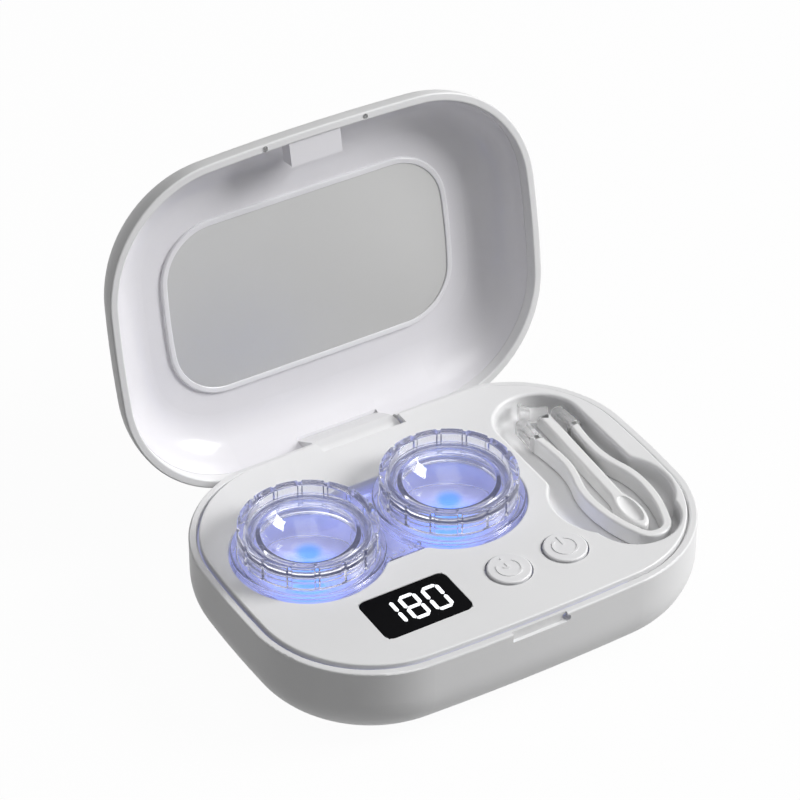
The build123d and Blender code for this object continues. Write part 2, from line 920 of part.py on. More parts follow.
def make_cap(x, y):
    top = rim_z + cap_top
    low = rim_z + cap_bottom
    bore = bowl_radius + bowl_wall + cap_bore_gap
    roof = top - cap_plate
    ledge_r = cap_radius - cap_rim_width
    ledge_z = top - cap_ledge_drop
    dish_z = ledge_z - cap_dish_step
    dish_low = top - cap_dish_drop
    inner_r = cap_dish_radius - 0.3
    plug_r = cap_dish_radius + cap_dish_wall
    points = [(cap_radius, low), (cap_radius, top), (ledge_r, top), (ledge_r, ledge_z)]
    points += [(cap_dish_radius, ledge_z), (inner_r, dish_z)]
    dip = RadiusArc(points[-1], (0, dish_low), arc_for(inner_r, dish_z - dish_low))
    under_low = dish_low - cap_dish_wall
    plug_z = dish_z - cap_dish_wall
    under = RadiusArc((0, under_low), (plug_r - 0.6, plug_z), arc_for(plug_r - 0.6, plug_z - under_low))
    rest = [(plug_r - 0.6, plug_z), (plug_r, roof), (bore, roof), (bore, low), (cap_radius, low)]
    lines = [Line(a, b) for a, b in zip(points, points[1:])]
    lines += [dip, Line(dip @ 1, under @ 0), under]
    lines += [Line(a, b) for a, b in zip(rest, rest[1:])]
    face = make_face(Curve() + lines)
    corners = [v for v in face.vertices() if v.Y > top - 0.01 or (v.Y > ledge_z - 0.01 and v.X < ledge_r)]
    face = fillet(corners, cap_edge_round)
    cap = revolve(Rot(90, 0, 0) * face, Axis.Z)
    groove = Pos(cap_radius, 0, 0) * Box(2 * grip_depth, grip_width, 4 * cap_top)
    for index in range(grip_count):
        cap -= Pos(0, 0, top) * Rot(0, 0, 360 * index / grip_count) * groove
    return Pos(x, y, 0) * cap


def arc_for(half_chord, sag):
    """Radius of a dish from its rim radius and its depth."""
    return (half_chord**2 + sag**2) / (2 * sag)


def make_seal(x, y):
    low = rim_z + mouth_height + seal_gap
    outer = bowl_radius + bowl_wall - seal_inset
    inner = bowl_radius + seal_inset
    return post(x, y, outer, low, low + seal_height) - post(x, y, inner, low - 1, low + 1)


# ---- tools ----
def tweezers_arcs(offset):
    """Line of one arm, from the bow to the tip, as tangent arcs moved outwards by offset."""
    drop = belly_y - bow_y - bow_radius
    side = (belly_spread**2 + drop**2 - bow_radius**2) / (2 * (belly_spread - bow_radius))
    side_x = belly_spread - side
    turn = math.degrees(math.atan2(-drop, -side_x))
    waist_x = (belly_spread - neck_spread) / 2
    waist_y = (neck_y - belly_y) / 2
    waist = arc_for(waist_y, waist_x)
    swing = math.degrees(math.asin(waist_y / waist))
    throat = arc_for(tip_y - neck_y, tip_spread - neck_spread)
    flare = math.degrees(math.asin((tip_y - neck_y) / throat))
    return [
        CenterArc((0, bow_y + bow_radius), bow_radius + offset, -90, 90 + turn),
        CenterArc((side_x, belly_y), side + offset, turn, -turn),
        CenterArc((belly_spread - waist, belly_y), waist + offset, 0, swing),
        CenterArc((neck_spread + waist, neck_y), waist - offset, 180 + swing, -swing),
        CenterArc((neck_spread + throat, neck_y), throat - offset, 180, -flare),
    ]


def make_tweezers():
    outer = tweezers_arcs(arm_width / 2)
    inner = tweezers_arcs(-arm_width / 2)
    ends = [Line(outer[0] @ 0, inner[0] @ 0), Line(outer[-1] @ 1, inner[-1] @ 1)]
    half = make_face(Curve() + outer + inner + ends)
    whole = half + mirror(half, about=Plane.YZ)
    low = recess_floor + tool_lift_gap
    solid = slab(Pos(tweezers_x, 0) * whole, low, low + arm_height)
    return fillet(solid.faces().sort_by(Axis.Z)[-1].edges(), arm_round)


def sleeve(side):
    """Soft tip over one arm, without the room for the arm."""
    lean = side * sleeve_lean
    low = recess_floor + tool_lift_gap
    body = Box(sleeve_width, sleeve_length, sleeve_height, align=(Align.CENTER, Align.MIN, Align.MIN))
    body = fillet(body.edges().filter_by(Axis.Y), sleeve_round)
    place = Pos(tweezers_x + side * tip_spread, tip_y - sleeve_overlap, low)
    return place * Rot(0, 0, lean) * body


def stick_frame():
    """Place of the stick: origin at its top end, +Y towards its spoon."""
    dx = stick_end[0] - stick_top[0]
    dy = stick_end[1] - stick_top[1]
    turn = math.degrees(math.atan2(dy, dx)) - 90
    low = recess_floor + tool_lift_gap
    return Pos(stick_top[0], stick_top[1], low) * Rot(0, 0, turn), math.hypot(dx, dy)


def make_stick():
    place, length = stick_frame()
    bar = Rectangle(stick_width, length - spoon_length / 2, align=(Align.CENTER, Align.MIN))
    spoon = Pos(0, length - spoon_length / 2) * Ellipse(spoon_width / 2, spoon_length / 2)
    face = bar + spoon
    corners = [v for v in face.vertices() if 1 < v.Y < length - spoon_length / 2 - 0.5]
    face = fillet(corners, spoon_neck_round)
    body = extrude(face, amount=stick_height)
    body = fillet(body.faces().sort_by(Axis.Z)[-1].edges(), stick_round)
    half = (spoon_width / 2 - spoon_lip, spoon_length / 2 - 2 * spoon_lip)
    dish = scale(Sphere(1), by=(*half, spoon_dip))
    return place * (body - Pos(0, length - spoon_length / 2, stick_height) * dish)


def sucker_place():
    """Frame at the end of the stick, +Z along the suction cup."""
    low = recess_floor + tool_lift_gap
    z = low + sucker_radius
    return Pos(stick_top[0], stick_top[1], z) * Rot(0, 0, sucker_lean) * Rot(-90, 0, 0)


def make_sucker():
    """Soft cup on the stick's end: a neck, a flare and a hollow mouth."""
    start = -sucker_overlap
    flare = sucker_length * 0.45
    points = [(0, start), (sucker_neck, start), (sucker_neck, flare)]
    points += [(sucker_radius, sucker_length), (sucker_radius - sucker_wall, sucker_length)]
    points += [(sucker_neck - sucker_wall, flare + sucker_wall), (0, flare + sucker_wall)]
    face = make_face(Polyline(*points, close=True))
    cup = revolve(Rot(90, 0, 0) * face, Axis.Z)
    return sucker_place() * cup


# ---- lid, drawn closed ----
def lid_dome(inset):
    """Dome of the lid, drawn in by inset, from below the rim to the roof."""
    dome = slab(oval(inset), lid_z, lid_z + lid_height - inset)
    return fillet(dome.faces().sort_by(Axis.Z)[-1].edges(), lid_round - inset)


def lid_step():
    """Height of the step between the rim and the liner."""
    return lid_z + lid_rim_depth


def above(part, z):
    """Part of a solid over a height."""
    return part & block(-2 * half_length, 2 * half_length, -2 * half_width, 2 * half_width, z, z + 100)


def make_lid_shell():
    shell = lid_dome(0)
    shell -= lid_dome(lid_rim_width)
    shell -= above(lid_dome(lid_skin), lid_step())
    rim = [e for e in shell.edges() if abs((e @ 0.5).Z - lid_z) < 0.01]
    shell = fillet(rim, lid_edge_round)
    # knuckle and its arm
    back = half_width - arm_back_inset
    front = hinge_y - knuckle_radius
    wall_in = half_width - lid_skin
    points = [
        (front, hinge_z),
        (front, hinge_z + arm_front_top),
        (wall_in - lid_rim_width, rim_z + arm_top),
        (back, rim_z + arm_top),
        (back, hinge_z),
    ]
    side = Plane.YZ * make_face(Polyline(*points, close=True))
    arm = extrude(side, amount=knuckle_half, both=True)
    knuckle = arm + rod_x(hinge_y, hinge_z, knuckle_radius, knuckle_half)
    below = block(-half_length, half_length, 0, half_width + 5, hinge_z - 5, lid_z + 1)
    shell += knuckle & (lid_dome(0) + below)
    shell -= rod_x(hinge_y, hinge_z, pin_radius + pin_running_gap, knuckle_half + 1)
    # slots beside the arm
    for sign in (-1, 1):
        x = sign * (knuckle_half + slot_width / 2)
        shell -= block(
            x - slot_width / 2,
            x + slot_width / 2,
            half_width - lid_rim_width - 0.5,
            half_width - lid_rim_width + slot_depth,
            lid_z - 1,
            lid_z + slot_height,
        )
    # bumper seats in the front rim
    for x in (-bumper_x, bumper_x):
        shell -= post(x, bumper_y(), bumper_radius, lid_z - 1, lid_z + bumper_depth)
    return opened(shell)


def bumper_y():
    """Place of the bumpers on the front rim."""
    return -half_width + bumper_inset


def make_rim_bumper():
    return opened(post(-bumper_x, bumper_y(), bumper_radius, lid_z - bumper_proud, lid_z + bumper_depth))


def make_lid_liner():
    liner = above(lid_dome(lid_skin + liner_gap), lid_step() + liner_gap)
    liner -= lid_dome(lid_skin + liner_skin)
    half = knuckle_half + 2 * liner_gap
    reach = half_width - lid_skin - lid_rim_width - 2 * liner_gap
    liner -= block(-half, half, reach - 4, half_width, lid_z, rim_z + arm_top + 2 * liner_gap)
    liner -= slab(mirror_oval(bezel_width - bezel_lap), lid_z + 5, lid_z + lid_height)
    return opened(liner)


def roof_under():
    """Height of the liner's roof, seen from inside the lid."""
    return lid_z + lid_height - lid_skin - liner_skin


def make_mirror_bezel():
    low = roof_under() - bezel_rise
    ring = mirror_oval(0) - mirror_oval(bezel_width)
    bezel = slab(ring, low, roof_under())
    bezel = fillet(bezel.faces().sort_by(Axis.Z)[0].edges(), bezel_round)
    seat = mirror_oval(bezel_width - bezel_lap + mirror_gap) - mirror_oval(bezel_width)
    bezel += slab(seat, roof_under() - 0.1, roof_under())
    return opened(bezel)


def make_mirror():
    low = roof_under() - bezel_rise + mirror_sink
    back = lid_z + lid_height - lid_skin - liner_gap
    glass = slab(mirror_oval(bezel_width + mirror_gap), low, roof_under())
    glass += slab(mirror_oval(bezel_width - bezel_lap + mirror_gap), roof_under() + mirror_gap, back)
    glass += slab(mirror_oval(bezel_width + mirror_gap), low, back)
    return opened(glass)


def block_front():
    """Outer face of the magnet block, against the lid's front rim."""
    return -half_width + lid_rim_width + block_gap


def make_magnet_block():
    low = lid_z + block_rise
    y0 = block_front()
    body = block(-block_half, block_half, y0, y0 + block_reach, low, low + block_height)
    body = fillet(body.edges().filter_by(Axis.Z), block_edge_round)
    body = body & lid_dome(lid_rim_width + block_gap)
    pocket_y = y0 + block_reach / 2
    body -= magnet(pocket_y, low + magnet_pocket_wall, 0.05)
    body -= magnet(pocket_y, low + magnet_pocket_wall + magnet_height, 0.05)
    return opened(body)


def make_lid_magnet():
    pocket_y = block_front() + block_reach / 2
    return opened(magnet(pocket_y, lid_z + block_rise + magnet_pocket_wall, 0))


def make_hinge_pin():
    half = knuckle_half + knuckle_side_gap + cheek_width - pocket_wall
    return rod_x(hinge_y, hinge_z, pin_radius, half)


# ---- write every node ----
def main():
    os.makedirs("parts", exist_ok=True)
    left, right = cup_places
    arms = make_tweezers()
    stick = make_stick()
    nodes = {
        "base_shell": make_base_shell(),
        "deck_panel": make_deck_panel(),
        "foot_pad": make_foot_pad(),
        "case_screws": make_case_screws(),
        "base_magnet": make_base_magnet(),
        "display_window": make_display_window(),
        "display_digits": make_display_digits(),
        "display_module": make_display_module(),
        "main_board": make_main_board(),
        "board_screws": make_board_screws(),
        "tact_switches": make_tact_switches(),
        "timer_plunger": make_plunger(timer_x),
        "power_plunger": make_plunger(power_x),
        "timer_button": make_timer_button(),
        "power_button": make_power_button(),
        "light_windows": make_light_windows(),
        "vibration_discs": make_vibration_discs(),
        "led_board": make_led_board(),
        "blue_leds": make_blue_leds(),
        "battery": make_battery(),
        "usb_socket": make_usb_socket(),
        "charge_board": make_charge_board(),
        "lens_case": make_lens_case(),
        "left_cap": make_cap(*left),
        "right_cap": make_cap(*right),
        "left_seal": make_seal(*left),
        "right_seal": make_seal(*right),
        "tweezers": arms,
        "tweezer_tips": one([sleeve(side) - arms for side in (-1, 1)]),
        "applicator_stick": stick,
        "suction_cup": make_sucker() - stick,
        "lid_shell": make_lid_shell(),
        "lid_liner": make_lid_liner(),
        "mirror_bezel": make_mirror_bezel(),
        "mirror": make_mirror(),
        "magnet_block": make_magnet_block(),
        "lid_magnet": make_lid_magnet(),
        "rim_bumper": make_rim_bumper(),
        "hinge_pin": make_hinge_pin(),
    }
    for name, part in nodes.items():
        export_step(part, f"parts/{name}.step")


main()
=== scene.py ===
"""Contact lens cleaner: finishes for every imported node, and the clear lens cups, screw caps, seals
and mirror bead modelled anew, in a plain studio.

Sizes are in millimetres and become metres when a piece is finished. Lid pieces are drawn shut, as
they are moulded, and swung open about the hinge. Noise scales are in features per metre.
"""

from __future__ import annotations

import logging
import math
from dataclasses import dataclass
from enum import Enum
from typing import Protocol

import bmesh
import bpy
from mathutils import Matrix, Vector

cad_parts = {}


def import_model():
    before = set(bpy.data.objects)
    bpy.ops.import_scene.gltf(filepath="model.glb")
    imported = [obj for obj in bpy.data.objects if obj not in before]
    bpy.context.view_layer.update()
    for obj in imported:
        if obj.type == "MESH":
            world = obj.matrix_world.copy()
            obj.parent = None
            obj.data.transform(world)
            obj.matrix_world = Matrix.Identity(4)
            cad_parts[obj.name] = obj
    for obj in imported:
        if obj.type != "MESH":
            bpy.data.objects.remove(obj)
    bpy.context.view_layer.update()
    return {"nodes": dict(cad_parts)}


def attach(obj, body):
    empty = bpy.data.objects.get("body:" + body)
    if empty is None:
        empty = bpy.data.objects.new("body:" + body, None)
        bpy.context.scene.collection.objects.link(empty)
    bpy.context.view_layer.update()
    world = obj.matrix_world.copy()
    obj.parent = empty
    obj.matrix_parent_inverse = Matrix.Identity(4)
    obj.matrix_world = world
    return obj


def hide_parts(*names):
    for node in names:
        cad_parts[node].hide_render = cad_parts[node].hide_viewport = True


log = logging.getLogger("lens_cleaner")
Colour = tuple[float, float, float]
Point2 = tuple[float, float]
Place = tuple[float, float, float]
MM = 0.001
NEARLY_STRAIGHT = math.radians(89)

# The tub's rim, the line that both cups stand on, and the hinge with the lid's swing.
RIM_Z = 20.0
CUP_Y = 5.1
HINGE = (0.0, 34.4, 16.8)
OPEN_DEGREES = 100.27

# How finely the clear pieces are turned, and where their edges stay sharp.
CUP_STEPS = 192
CUP_SHARP_DEGREES = 40.0


class Body(Enum):
    """Moving bodies that the modelled pieces ride on."""

    LID = "lid"
    LENS_CASE = "lens_case"
    LEFT_SEAL = "left_seal"
    LEFT_CAP = "left_cap"
    RIGHT_SEAL = "right_seal"
    RIGHT_CAP = "right_cap"


class Side(Enum):
    """Left or right cup, by its centre's X in millimetres."""

    LEFT = -28.6
    RIGHT = 4.3


# ---- finishes ----
class Finish(Protocol):
    """Named finish of a material slot."""

    name: str
    slot: str

    def build(self) -> bpy.types.Material:
        """Make the material."""


class NodeSheet:
    """Node tree of one material, with the few node chains that the finishes share."""

    def __init__(self, name: str) -> None:
        """Start a material with a Principled shader and object coordinates.

        Args:
            name: Name of the material.
        """
        self.material = bpy.data.materials.new(name)
        self.material.use_nodes = True
        self.tree = self.material.node_tree
        self.tree.nodes.clear()
        self.output = self.add("ShaderNodeOutputMaterial")
        self.shader = self.add("ShaderNodeBsdfPrincipled")
        self.join(self.shader.outputs["BSDF"], self.output.inputs["Surface"])
        self.place = self.add("ShaderNodeTexCoord").outputs["Object"]

    def add(self, kind: str, **values: object) -> bpy.types.Node:
        """Add a node and set its attributes."""
        node = self.tree.nodes.new(kind)
        for key, value in values.items():
            setattr(node, key, value)
        return node

    def join(self, start: bpy.types.NodeSocket, end: bpy.types.NodeSocket) -> None:
        """Link two sockets."""
        self.tree.links.new(start, end)

    def set(self, **values: object) -> None:
        """Set inputs of the shader by name, with underscores for spaces."""
        for key, value in values.items():
            self.shader.inputs[key.replace("_", " ")].default_value = value

    def noise(self, scale: float, detail: float = 3.0) -> bpy.types.NodeSocket:
        """Noise of a scale in features per metre, on object coordinates."""
        node = self.add("ShaderNodeTexNoise")
        node.inputs["Scale"].default_value = scale
        node.inputs["Detail"].default_value = detail
        self.join(self.place, node.inputs["Vector"])
        return node.outputs["Fac"]

    def ramp(
        self, source: bpy.types.NodeSocket, low: Colour, high: Colour, start: float, end: float
    ) -> bpy.types.NodeSocket:
        """Colour ramp between two colours.

        Args:
            source: Factor that drives the ramp.
            low: Colour at start.
            high: Colour at end.
            start: Factor where the low colour stands.
            end: Factor where the high colour stands.

        Returns:
            The ramp's colour socket.
        """
        node = self.add("ShaderNodeValToRGB")
        first, last = node.color_ramp.elements
        first.position, last.position = start, end
        first.color, last.color = (*low, 1.0), (*high, 1.0)
        self.join(source, node.inputs["Fac"])
        return node.outputs["Color"]

    def spread(
        self, source: bpy.types.NodeSocket, low: float, high: float
    ) -> bpy.types.NodeSocket:
        """Map a factor from 0..1 to low..high."""
        node = self.add("ShaderNodeMapRange")
        node.inputs["To Min"].default_value = low
        node.inputs["To Max"].default_value = high
        self.join(source, node.inputs["Value"])
        return node.outputs["Result"]

    def bump(self, source: bpy.types.NodeSocket, depth: float) -> None:
        """Drive the shader's normal with a bump of a depth in metres."""
        node = self.add("ShaderNodeBump")
        node.inputs["Strength"].default_value = 1.0
        node.inputs["Distance"].default_value = depth
        self.join(source, node.inputs["Height"])
        self.join(node.outputs["Normal"], self.shader.inputs["Normal"])

    def mottle(
        self, colour: Colour, scale: float, variation: float, start: float = 0.3, end: float = 0.7
    ) -> bpy.types.NodeSocket:
        """Colour that noise darkens here and there.

        Args:
            colour: The colour where it is lightest.
            scale: Scale of the noise.
            variation: Share by which it is darker at most.
            start: Noise value where it is darkest.
            end: Noise value where it is lightest.

        Returns:
            The colour's socket.
        """
        return self.ramp(self.noise(scale), tint(colour, 1 - variation), colour, start, end)

    def gloss(self, scale: float, roughness: float, wander: float) -> None:
        """Set a roughness that wanders up and down with a noise of a scale."""
        value = self.spread(self.noise(scale), roughness - wander, roughness + wander)
        self.join(value, self.shader.inputs["Roughness"])

    def math(
        self,
        operation: str,
        first: bpy.types.NodeSocket,
        second: bpy.types.NodeSocket | float,
    ) -> bpy.types.NodeSocket:
        """Work out one number from two.

        Args:
            operation: Name of the Math node's operation.
            first: First value.
            second: Second value, a socket or a plain number.

        Returns:
            The result's socket.
        """
        node = self.add("ShaderNodeMath", operation=operation)
        self.join(first, node.inputs[0])
        if isinstance(second, (int, float)):
            node.inputs[1].default_value = second
        else:
            self.join(second, node.inputs[1])
        return node.outputs[0]

    def axis(self, index: int) -> bpy.types.NodeSocket:
        """One coordinate of the place, 0 to 2 for X to Z."""
        node = self.add("ShaderNodeSeparateXYZ")
        self.join(self.place, node.inputs[0])
        return node.outputs[index]


def tint(colour: Colour, amount: float) -> Colour:
    """Colour made lighter or darker by a factor."""
    return tuple(min(1.0, channel * amount) for channel in colour)


def near_lights(sheet: NodeSheet, full: float, reach: float) -> bpy.types.NodeSocket:
    """Factor that falls with the distance from the upright line over each light.

    Args:
        sheet: Sheet that the nodes go on.
        full: Distance in metres up to which the factor is 1.
        reach: Distance in metres where it has come down to 0.

    Returns:
        The factor's socket.
    """
    flat = sheet.add("ShaderNodeVectorMath", operation="MULTIPLY")
    flat.inputs[1].default_value = (1.0, 1.0, 0.0)
    sheet.join(sheet.place, flat.inputs[0])
    most = sheet.add("ShaderNodeMath", operation="MAXIMUM")
    for slot, side in enumerate(Side):
        away = sheet.add("ShaderNodeVectorMath", operation="DISTANCE")
        away.inputs[1].default_value = (side.value * MM, CUP_Y * MM, 0.0)
        sheet.join(flat.outputs["Vector"], away.inputs[0])
        fall = sheet.add("ShaderNodeMapRange", interpolation_type="SMOOTHSTEP")
        fall.inputs["From Min"].default_value = full
        fall.inputs["From Max"].default_value = reach
        fall.inputs["To Min"].default_value = 1.0
        fall.inputs["To Max"].default_value = 0.0
        sheet.join(away.outputs["Value"], fall.inputs["Value"])
        sheet.join(fall.outputs["Result"], most.inputs[slot])
    return most.outputs[0]


def direct_rays(tree: bpy.types.NodeTree) -> bpy.types.NodeSocket:
    """Factor that is 1 for camera, glossy and transmission rays and 0 for the rest.

    Args:
        tree: Tree that the nodes go in.

    Returns:
        The factor's socket.
    """
    path = tree.nodes.new("ShaderNodeLightPath")
    factor = path.outputs["Is Camera Ray"]
    for name in ("Is Glossy Ray", "Is Transmission Ray"):
        most = tree.nodes.new("ShaderNodeMath")
        most.operation = "MAXIMUM"
        tree.links.new(factor, most.inputs[0])
        tree.links.new(path.outputs[name], most.inputs[1])
        factor = most.outputs[0]
    return factor


@dataclass(frozen=True)
class MouldedPlastic:
    """Opaque moulded plastic: fine spark texture, faint flow marks in gloss and tone."""

    name: str
    slot: str
    colour: Colour
    roughness: float = 0.35
    grain: float = 0.000004
    grain_scale: float = 2600.0
    variation: float = 0.02
    specular: float = 0.5
    flow_scale: float = 38.0
    flow_start: float = 0.35
    flow_end: float = 0.65
    gloss_scale: float = 95.0
    gloss_spread: float = 0.04

    def build(self) -> bpy.types.Material:
        """Make the material."""
        sheet = NodeSheet(self.name)
        sheet.join(self.tone(sheet), sheet.shader.inputs["Base Color"])
        self.surface(sheet)
        return sheet.material

    def tone(self, sheet: NodeSheet) -> bpy.types.NodeSocket:
        """Colour with faint flow marks."""
        ends = self.flow_start, self.flow_end
        return sheet.mottle(self.colour, self.flow_scale, self.variation, *ends)

    def surface(self, sheet: NodeSheet) -> None:
        """Set the gloss and the grain."""
        sheet.gloss(self.gloss_scale, self.roughness, self.gloss_spread)
        sheet.set(IOR=1.5, Specular_IOR_Level=self.specular)
        sheet.bump(sheet.noise(self.grain_scale, 2.0), self.grain)


@dataclass(frozen=True)
class ClearPlastic:
    """Polished clear plastic with faint moulding waves."""

    name: str
    slot: str
    colour: Colour
    roughness: float = 0.02
    ior: float = 1.45
    wave: float = 0.00002
    clarity: float = 0.97
    variation: float = 0.015
    tone_scale: float = 60.0
    wave_scale: float = 170.0

    def build(self) -> bpy.types.Material:
        """Make the material."""
        sheet = NodeSheet(self.name)
        tone = sheet.mottle(self.colour, self.tone_scale, self.variation)
        sheet.join(tone, sheet.shader.inputs["Base Color"])
        self.surface(sheet)
        return sheet.material

    def surface(self, sheet: NodeSheet) -> None:
        """Set the clarity and the waves."""
        sheet.set(Roughness=self.roughness, IOR=self.ior, Transmission_Weight=self.clarity)
        sheet.bump(sheet.noise(self.wave_scale, 1.0), self.wave)


@dataclass(frozen=True)
class LitClearPlastic(ClearPlastic):
    """Clear plastic with a painted blue glow and tint from the light below, most over each light."""

    # Colours and strengths of the painted glow and of the painted blue tint over each light.
    cast: Colour = (0.42, 0.46, 1.0)
    core: Colour = (0.04, 0.30, 1.0)
    core_tint: Colour = (0.38, 0.68, 1.0)
    cast_strength: float = 0.02
    core_strength: float = 0.12
    core_full: float = 0.0012
    core_reach: float = 0.0036
    core_share: float = 0.5

    def build(self) -> bpy.types.Material:
        """Make the material."""
        sheet = NodeSheet(self.name)
        self.surface(sheet)
        # Painted glow: emission that stands in for the blue light carried up through the plastic.
        near = near_lights(sheet, self.core_full, self.core_reach)
        light = sheet.ramp(near, self.cast, self.core, 0.0, self.core_share)
        sheet.join(light, sheet.shader.inputs["Emission Color"])
        power = sheet.spread(near, self.cast_strength, self.core_strength)
        sheet.join(power, sheet.shader.inputs["Emission Strength"])
        # Painted light: the base colour turns blue over each light, where the lit window shows
        # through.
        painted_glow_tint = sheet.ramp(near, self.colour, self.core_tint, 0.0, 1.0)
        sheet.join(painted_glow_tint, sheet.shader.inputs["Base Color"])
        return sheet.material


@dataclass(frozen=True)
class Silvering:
    """Mirror with the soft, slightly brushed grey of back-silvered plastic film."""

    name: str
    slot: str
    colour: Colour
    roughness: float = 0.2
    metallic: float = 0.55
    variation: float = 0.03
    tone_scale: float = 22.0
    gloss_scale: float = 70.0
    gloss_spread: float = 0.02

    def build(self) -> bpy.types.Material:
        """Make the material."""
        sheet = NodeSheet(self.name)
        tone = sheet.mottle(self.colour, self.tone_scale, self.variation)
        sheet.join(tone, sheet.shader.inputs["Base Color"])
        sheet.gloss(self.gloss_scale, self.roughness, self.gloss_spread)
        sheet.set(Metallic=self.metallic)
        return sheet.material


@dataclass(frozen=True)
class Metal:
    """Plated or brushed metal."""

    name: str
    slot: str
    colour: Colour
    roughness: float = 0.3
    variation: float = 0.1
    streak_scale: float = 900.0
    streak_bend: float = 6.0
    gloss_scale: float = 400.0
    gloss_spread: float = 0.06

    def build(self) -> bpy.types.Material:
        """Make the material."""
        sheet = NodeSheet(self.name)
        streak = sheet.add("ShaderNodeTexWave")
        streak.inputs["Scale"].default_value = self.streak_scale
        streak.inputs["Distortion"].default_value = self.streak_bend
        sheet.join(sheet.place, streak.inputs["Vector"])
        dark = tint(self.colour, 1 - self.variation)
        tone = sheet.ramp(streak.outputs["Fac"], dark, self.colour, 0.2, 0.8)
        sheet.join(tone, sheet.shader.inputs["Base Color"])
        sheet.gloss(self.gloss_scale, self.roughness, self.gloss_spread)
        sheet.set(Metallic=1.0)
        return sheet.material


@dataclass(frozen=True)
class Glow:
    """Lit surface with a faint mottle in its light."""

    name: str
    slot: str
    colour: Colour
    strength: float
    roughness: float = 0.3
    variation: float = 0.1
    mottle_scale: float = 300.0

    def build(self) -> bpy.types.Material:
        """Make the material."""
        sheet = NodeSheet(self.name)
        tone = sheet.mottle(self.colour, self.mottle_scale, self.variation)
        sheet.join(tone, sheet.shader.inputs["Base Color"])
        sheet.join(tone, sheet.shader.inputs["Emission Color"])
        sheet.set(Roughness=self.roughness, Emission_Strength=self.strength)
        return sheet.material


@dataclass(frozen=True)
class Laminate:
    """Printed circuit board: green mask over fine copper tracks and pads."""

    name: str
    slot: str
    colour: Colour
    track: Colour = (0.10, 0.34, 0.18)
    pad: Colour = (0.75, 0.6, 0.25)
    roughness: float = 0.35
    track_scale: float = 260.0
    track_width: float = 0.035
    track_rise: float = 0.00003
    pad_scale: float = 420.0
    pad_inner: float = 0.1
    pad_outer: float = 0.14

    def build(self) -> bpy.types.Material:
        """Make the material."""
        sheet = NodeSheet(self.name)
        brick = sheet.add("ShaderNodeTexBrick")
        brick.inputs["Scale"].default_value = self.track_scale
        brick.inputs["Mortar Size"].default_value = self.track_width
        brick.inputs["Color1"].default_value = (*self.colour, 1.0)
        brick.inputs["Color2"].default_value = (*tint(self.colour, 0.9), 1.0)
        brick.inputs["Mortar"].default_value = (*self.track, 1.0)
        sheet.join(sheet.place, brick.inputs["Vector"])
        cells = sheet.add("ShaderNodeTexVoronoi")
        cells.inputs["Scale"].default_value = self.pad_scale
        sheet.join(sheet.place, cells.inputs["Vector"])
        ends = self.pad_inner, self.pad_outer
        dots = sheet.ramp(cells.outputs["Distance"], (1.0, 1.0, 1.0), (0.0, 0.0, 0.0), *ends)
        mix = sheet.add("ShaderNodeMix", data_type="RGBA")
        sheet.join(dots, mix.inputs["Factor"])
        sheet.join(brick.outputs["Color"], mix.inputs["A"])
        mix.inputs["B"].default_value = (*self.pad, 1.0)
        sheet.join(mix.outputs["Result"], sheet.shader.inputs["Base Color"])
        sheet.set(Roughness=self.roughness)
        sheet.bump(brick.outputs["Fac"], self.track_rise)
        return sheet.material


@dataclass(frozen=True)
class DeckPlastic(MouldedPlastic):
    """White plastic, with painted lavender light in the well and painted blue glow at its lights."""

    # Colours and strengths of the painted lavender light and the painted blue glow in the well.
    cast: Colour = (0.58, 0.61, 0.96)
    core: Colour = (0.08, 0.26, 1.0)
    cast_strength: float = 0.26
    core_strength: float = 1.6
    core_full: float = 0.0025
    core_reach: float = 0.0132
    well_start: float = RIM_Z - 0.2
    well_full: float = RIM_Z - 2.5
    well_right: float = 21.8

    def build(self) -> bpy.types.Material:
        """Make the material."""
        sheet = NodeSheet(self.name)
        well = self.well(sheet)
        # Painted light: in the well the base colour turns lavender, as if lit by the blue lights.
        mix = sheet.add("ShaderNodeMix", data_type="RGBA")
        sheet.join(well, mix.inputs["Factor"])
        sheet.join(self.tone(sheet), mix.inputs["A"])
        mix.inputs["B"].default_value = (*self.cast, 1.0)
        sheet.join(mix.outputs["Result"], sheet.shader.inputs["Base Color"])
        # Painted glow: emission in the well, bluest and strongest round each light.
        near = near_lights(sheet, self.core_full, self.core_reach)
        light = sheet.ramp(near, self.cast, self.core, 0.0, 1.0)
        sheet.join(light, sheet.shader.inputs["Emission Color"])
        power = sheet.spread(near, self.cast_strength, self.core_strength)
        glow = sheet.math("MULTIPLY", power, well)
        sheet.join(glow, sheet.shader.inputs["Emission Strength"])
        self.surface(sheet)
        return sheet.material

    def well(self, sheet: NodeSheet) -> bpy.types.NodeSocket:
        """Mask of the painted light: 1 well below the rim and left of the tool recess, 0 elsewhere.
        """
        depth = sheet.add("ShaderNodeMapRange")
        depth.inputs["From Min"].default_value = self.well_start * MM
        depth.inputs["From Max"].default_value = self.well_full * MM
        sheet.join(sheet.axis(2), depth.inputs["Value"])
        across = sheet.math("LESS_THAN", sheet.axis(0), self.well_right * MM)
        return sheet.math("MULTIPLY", depth.outputs["Result"], across)


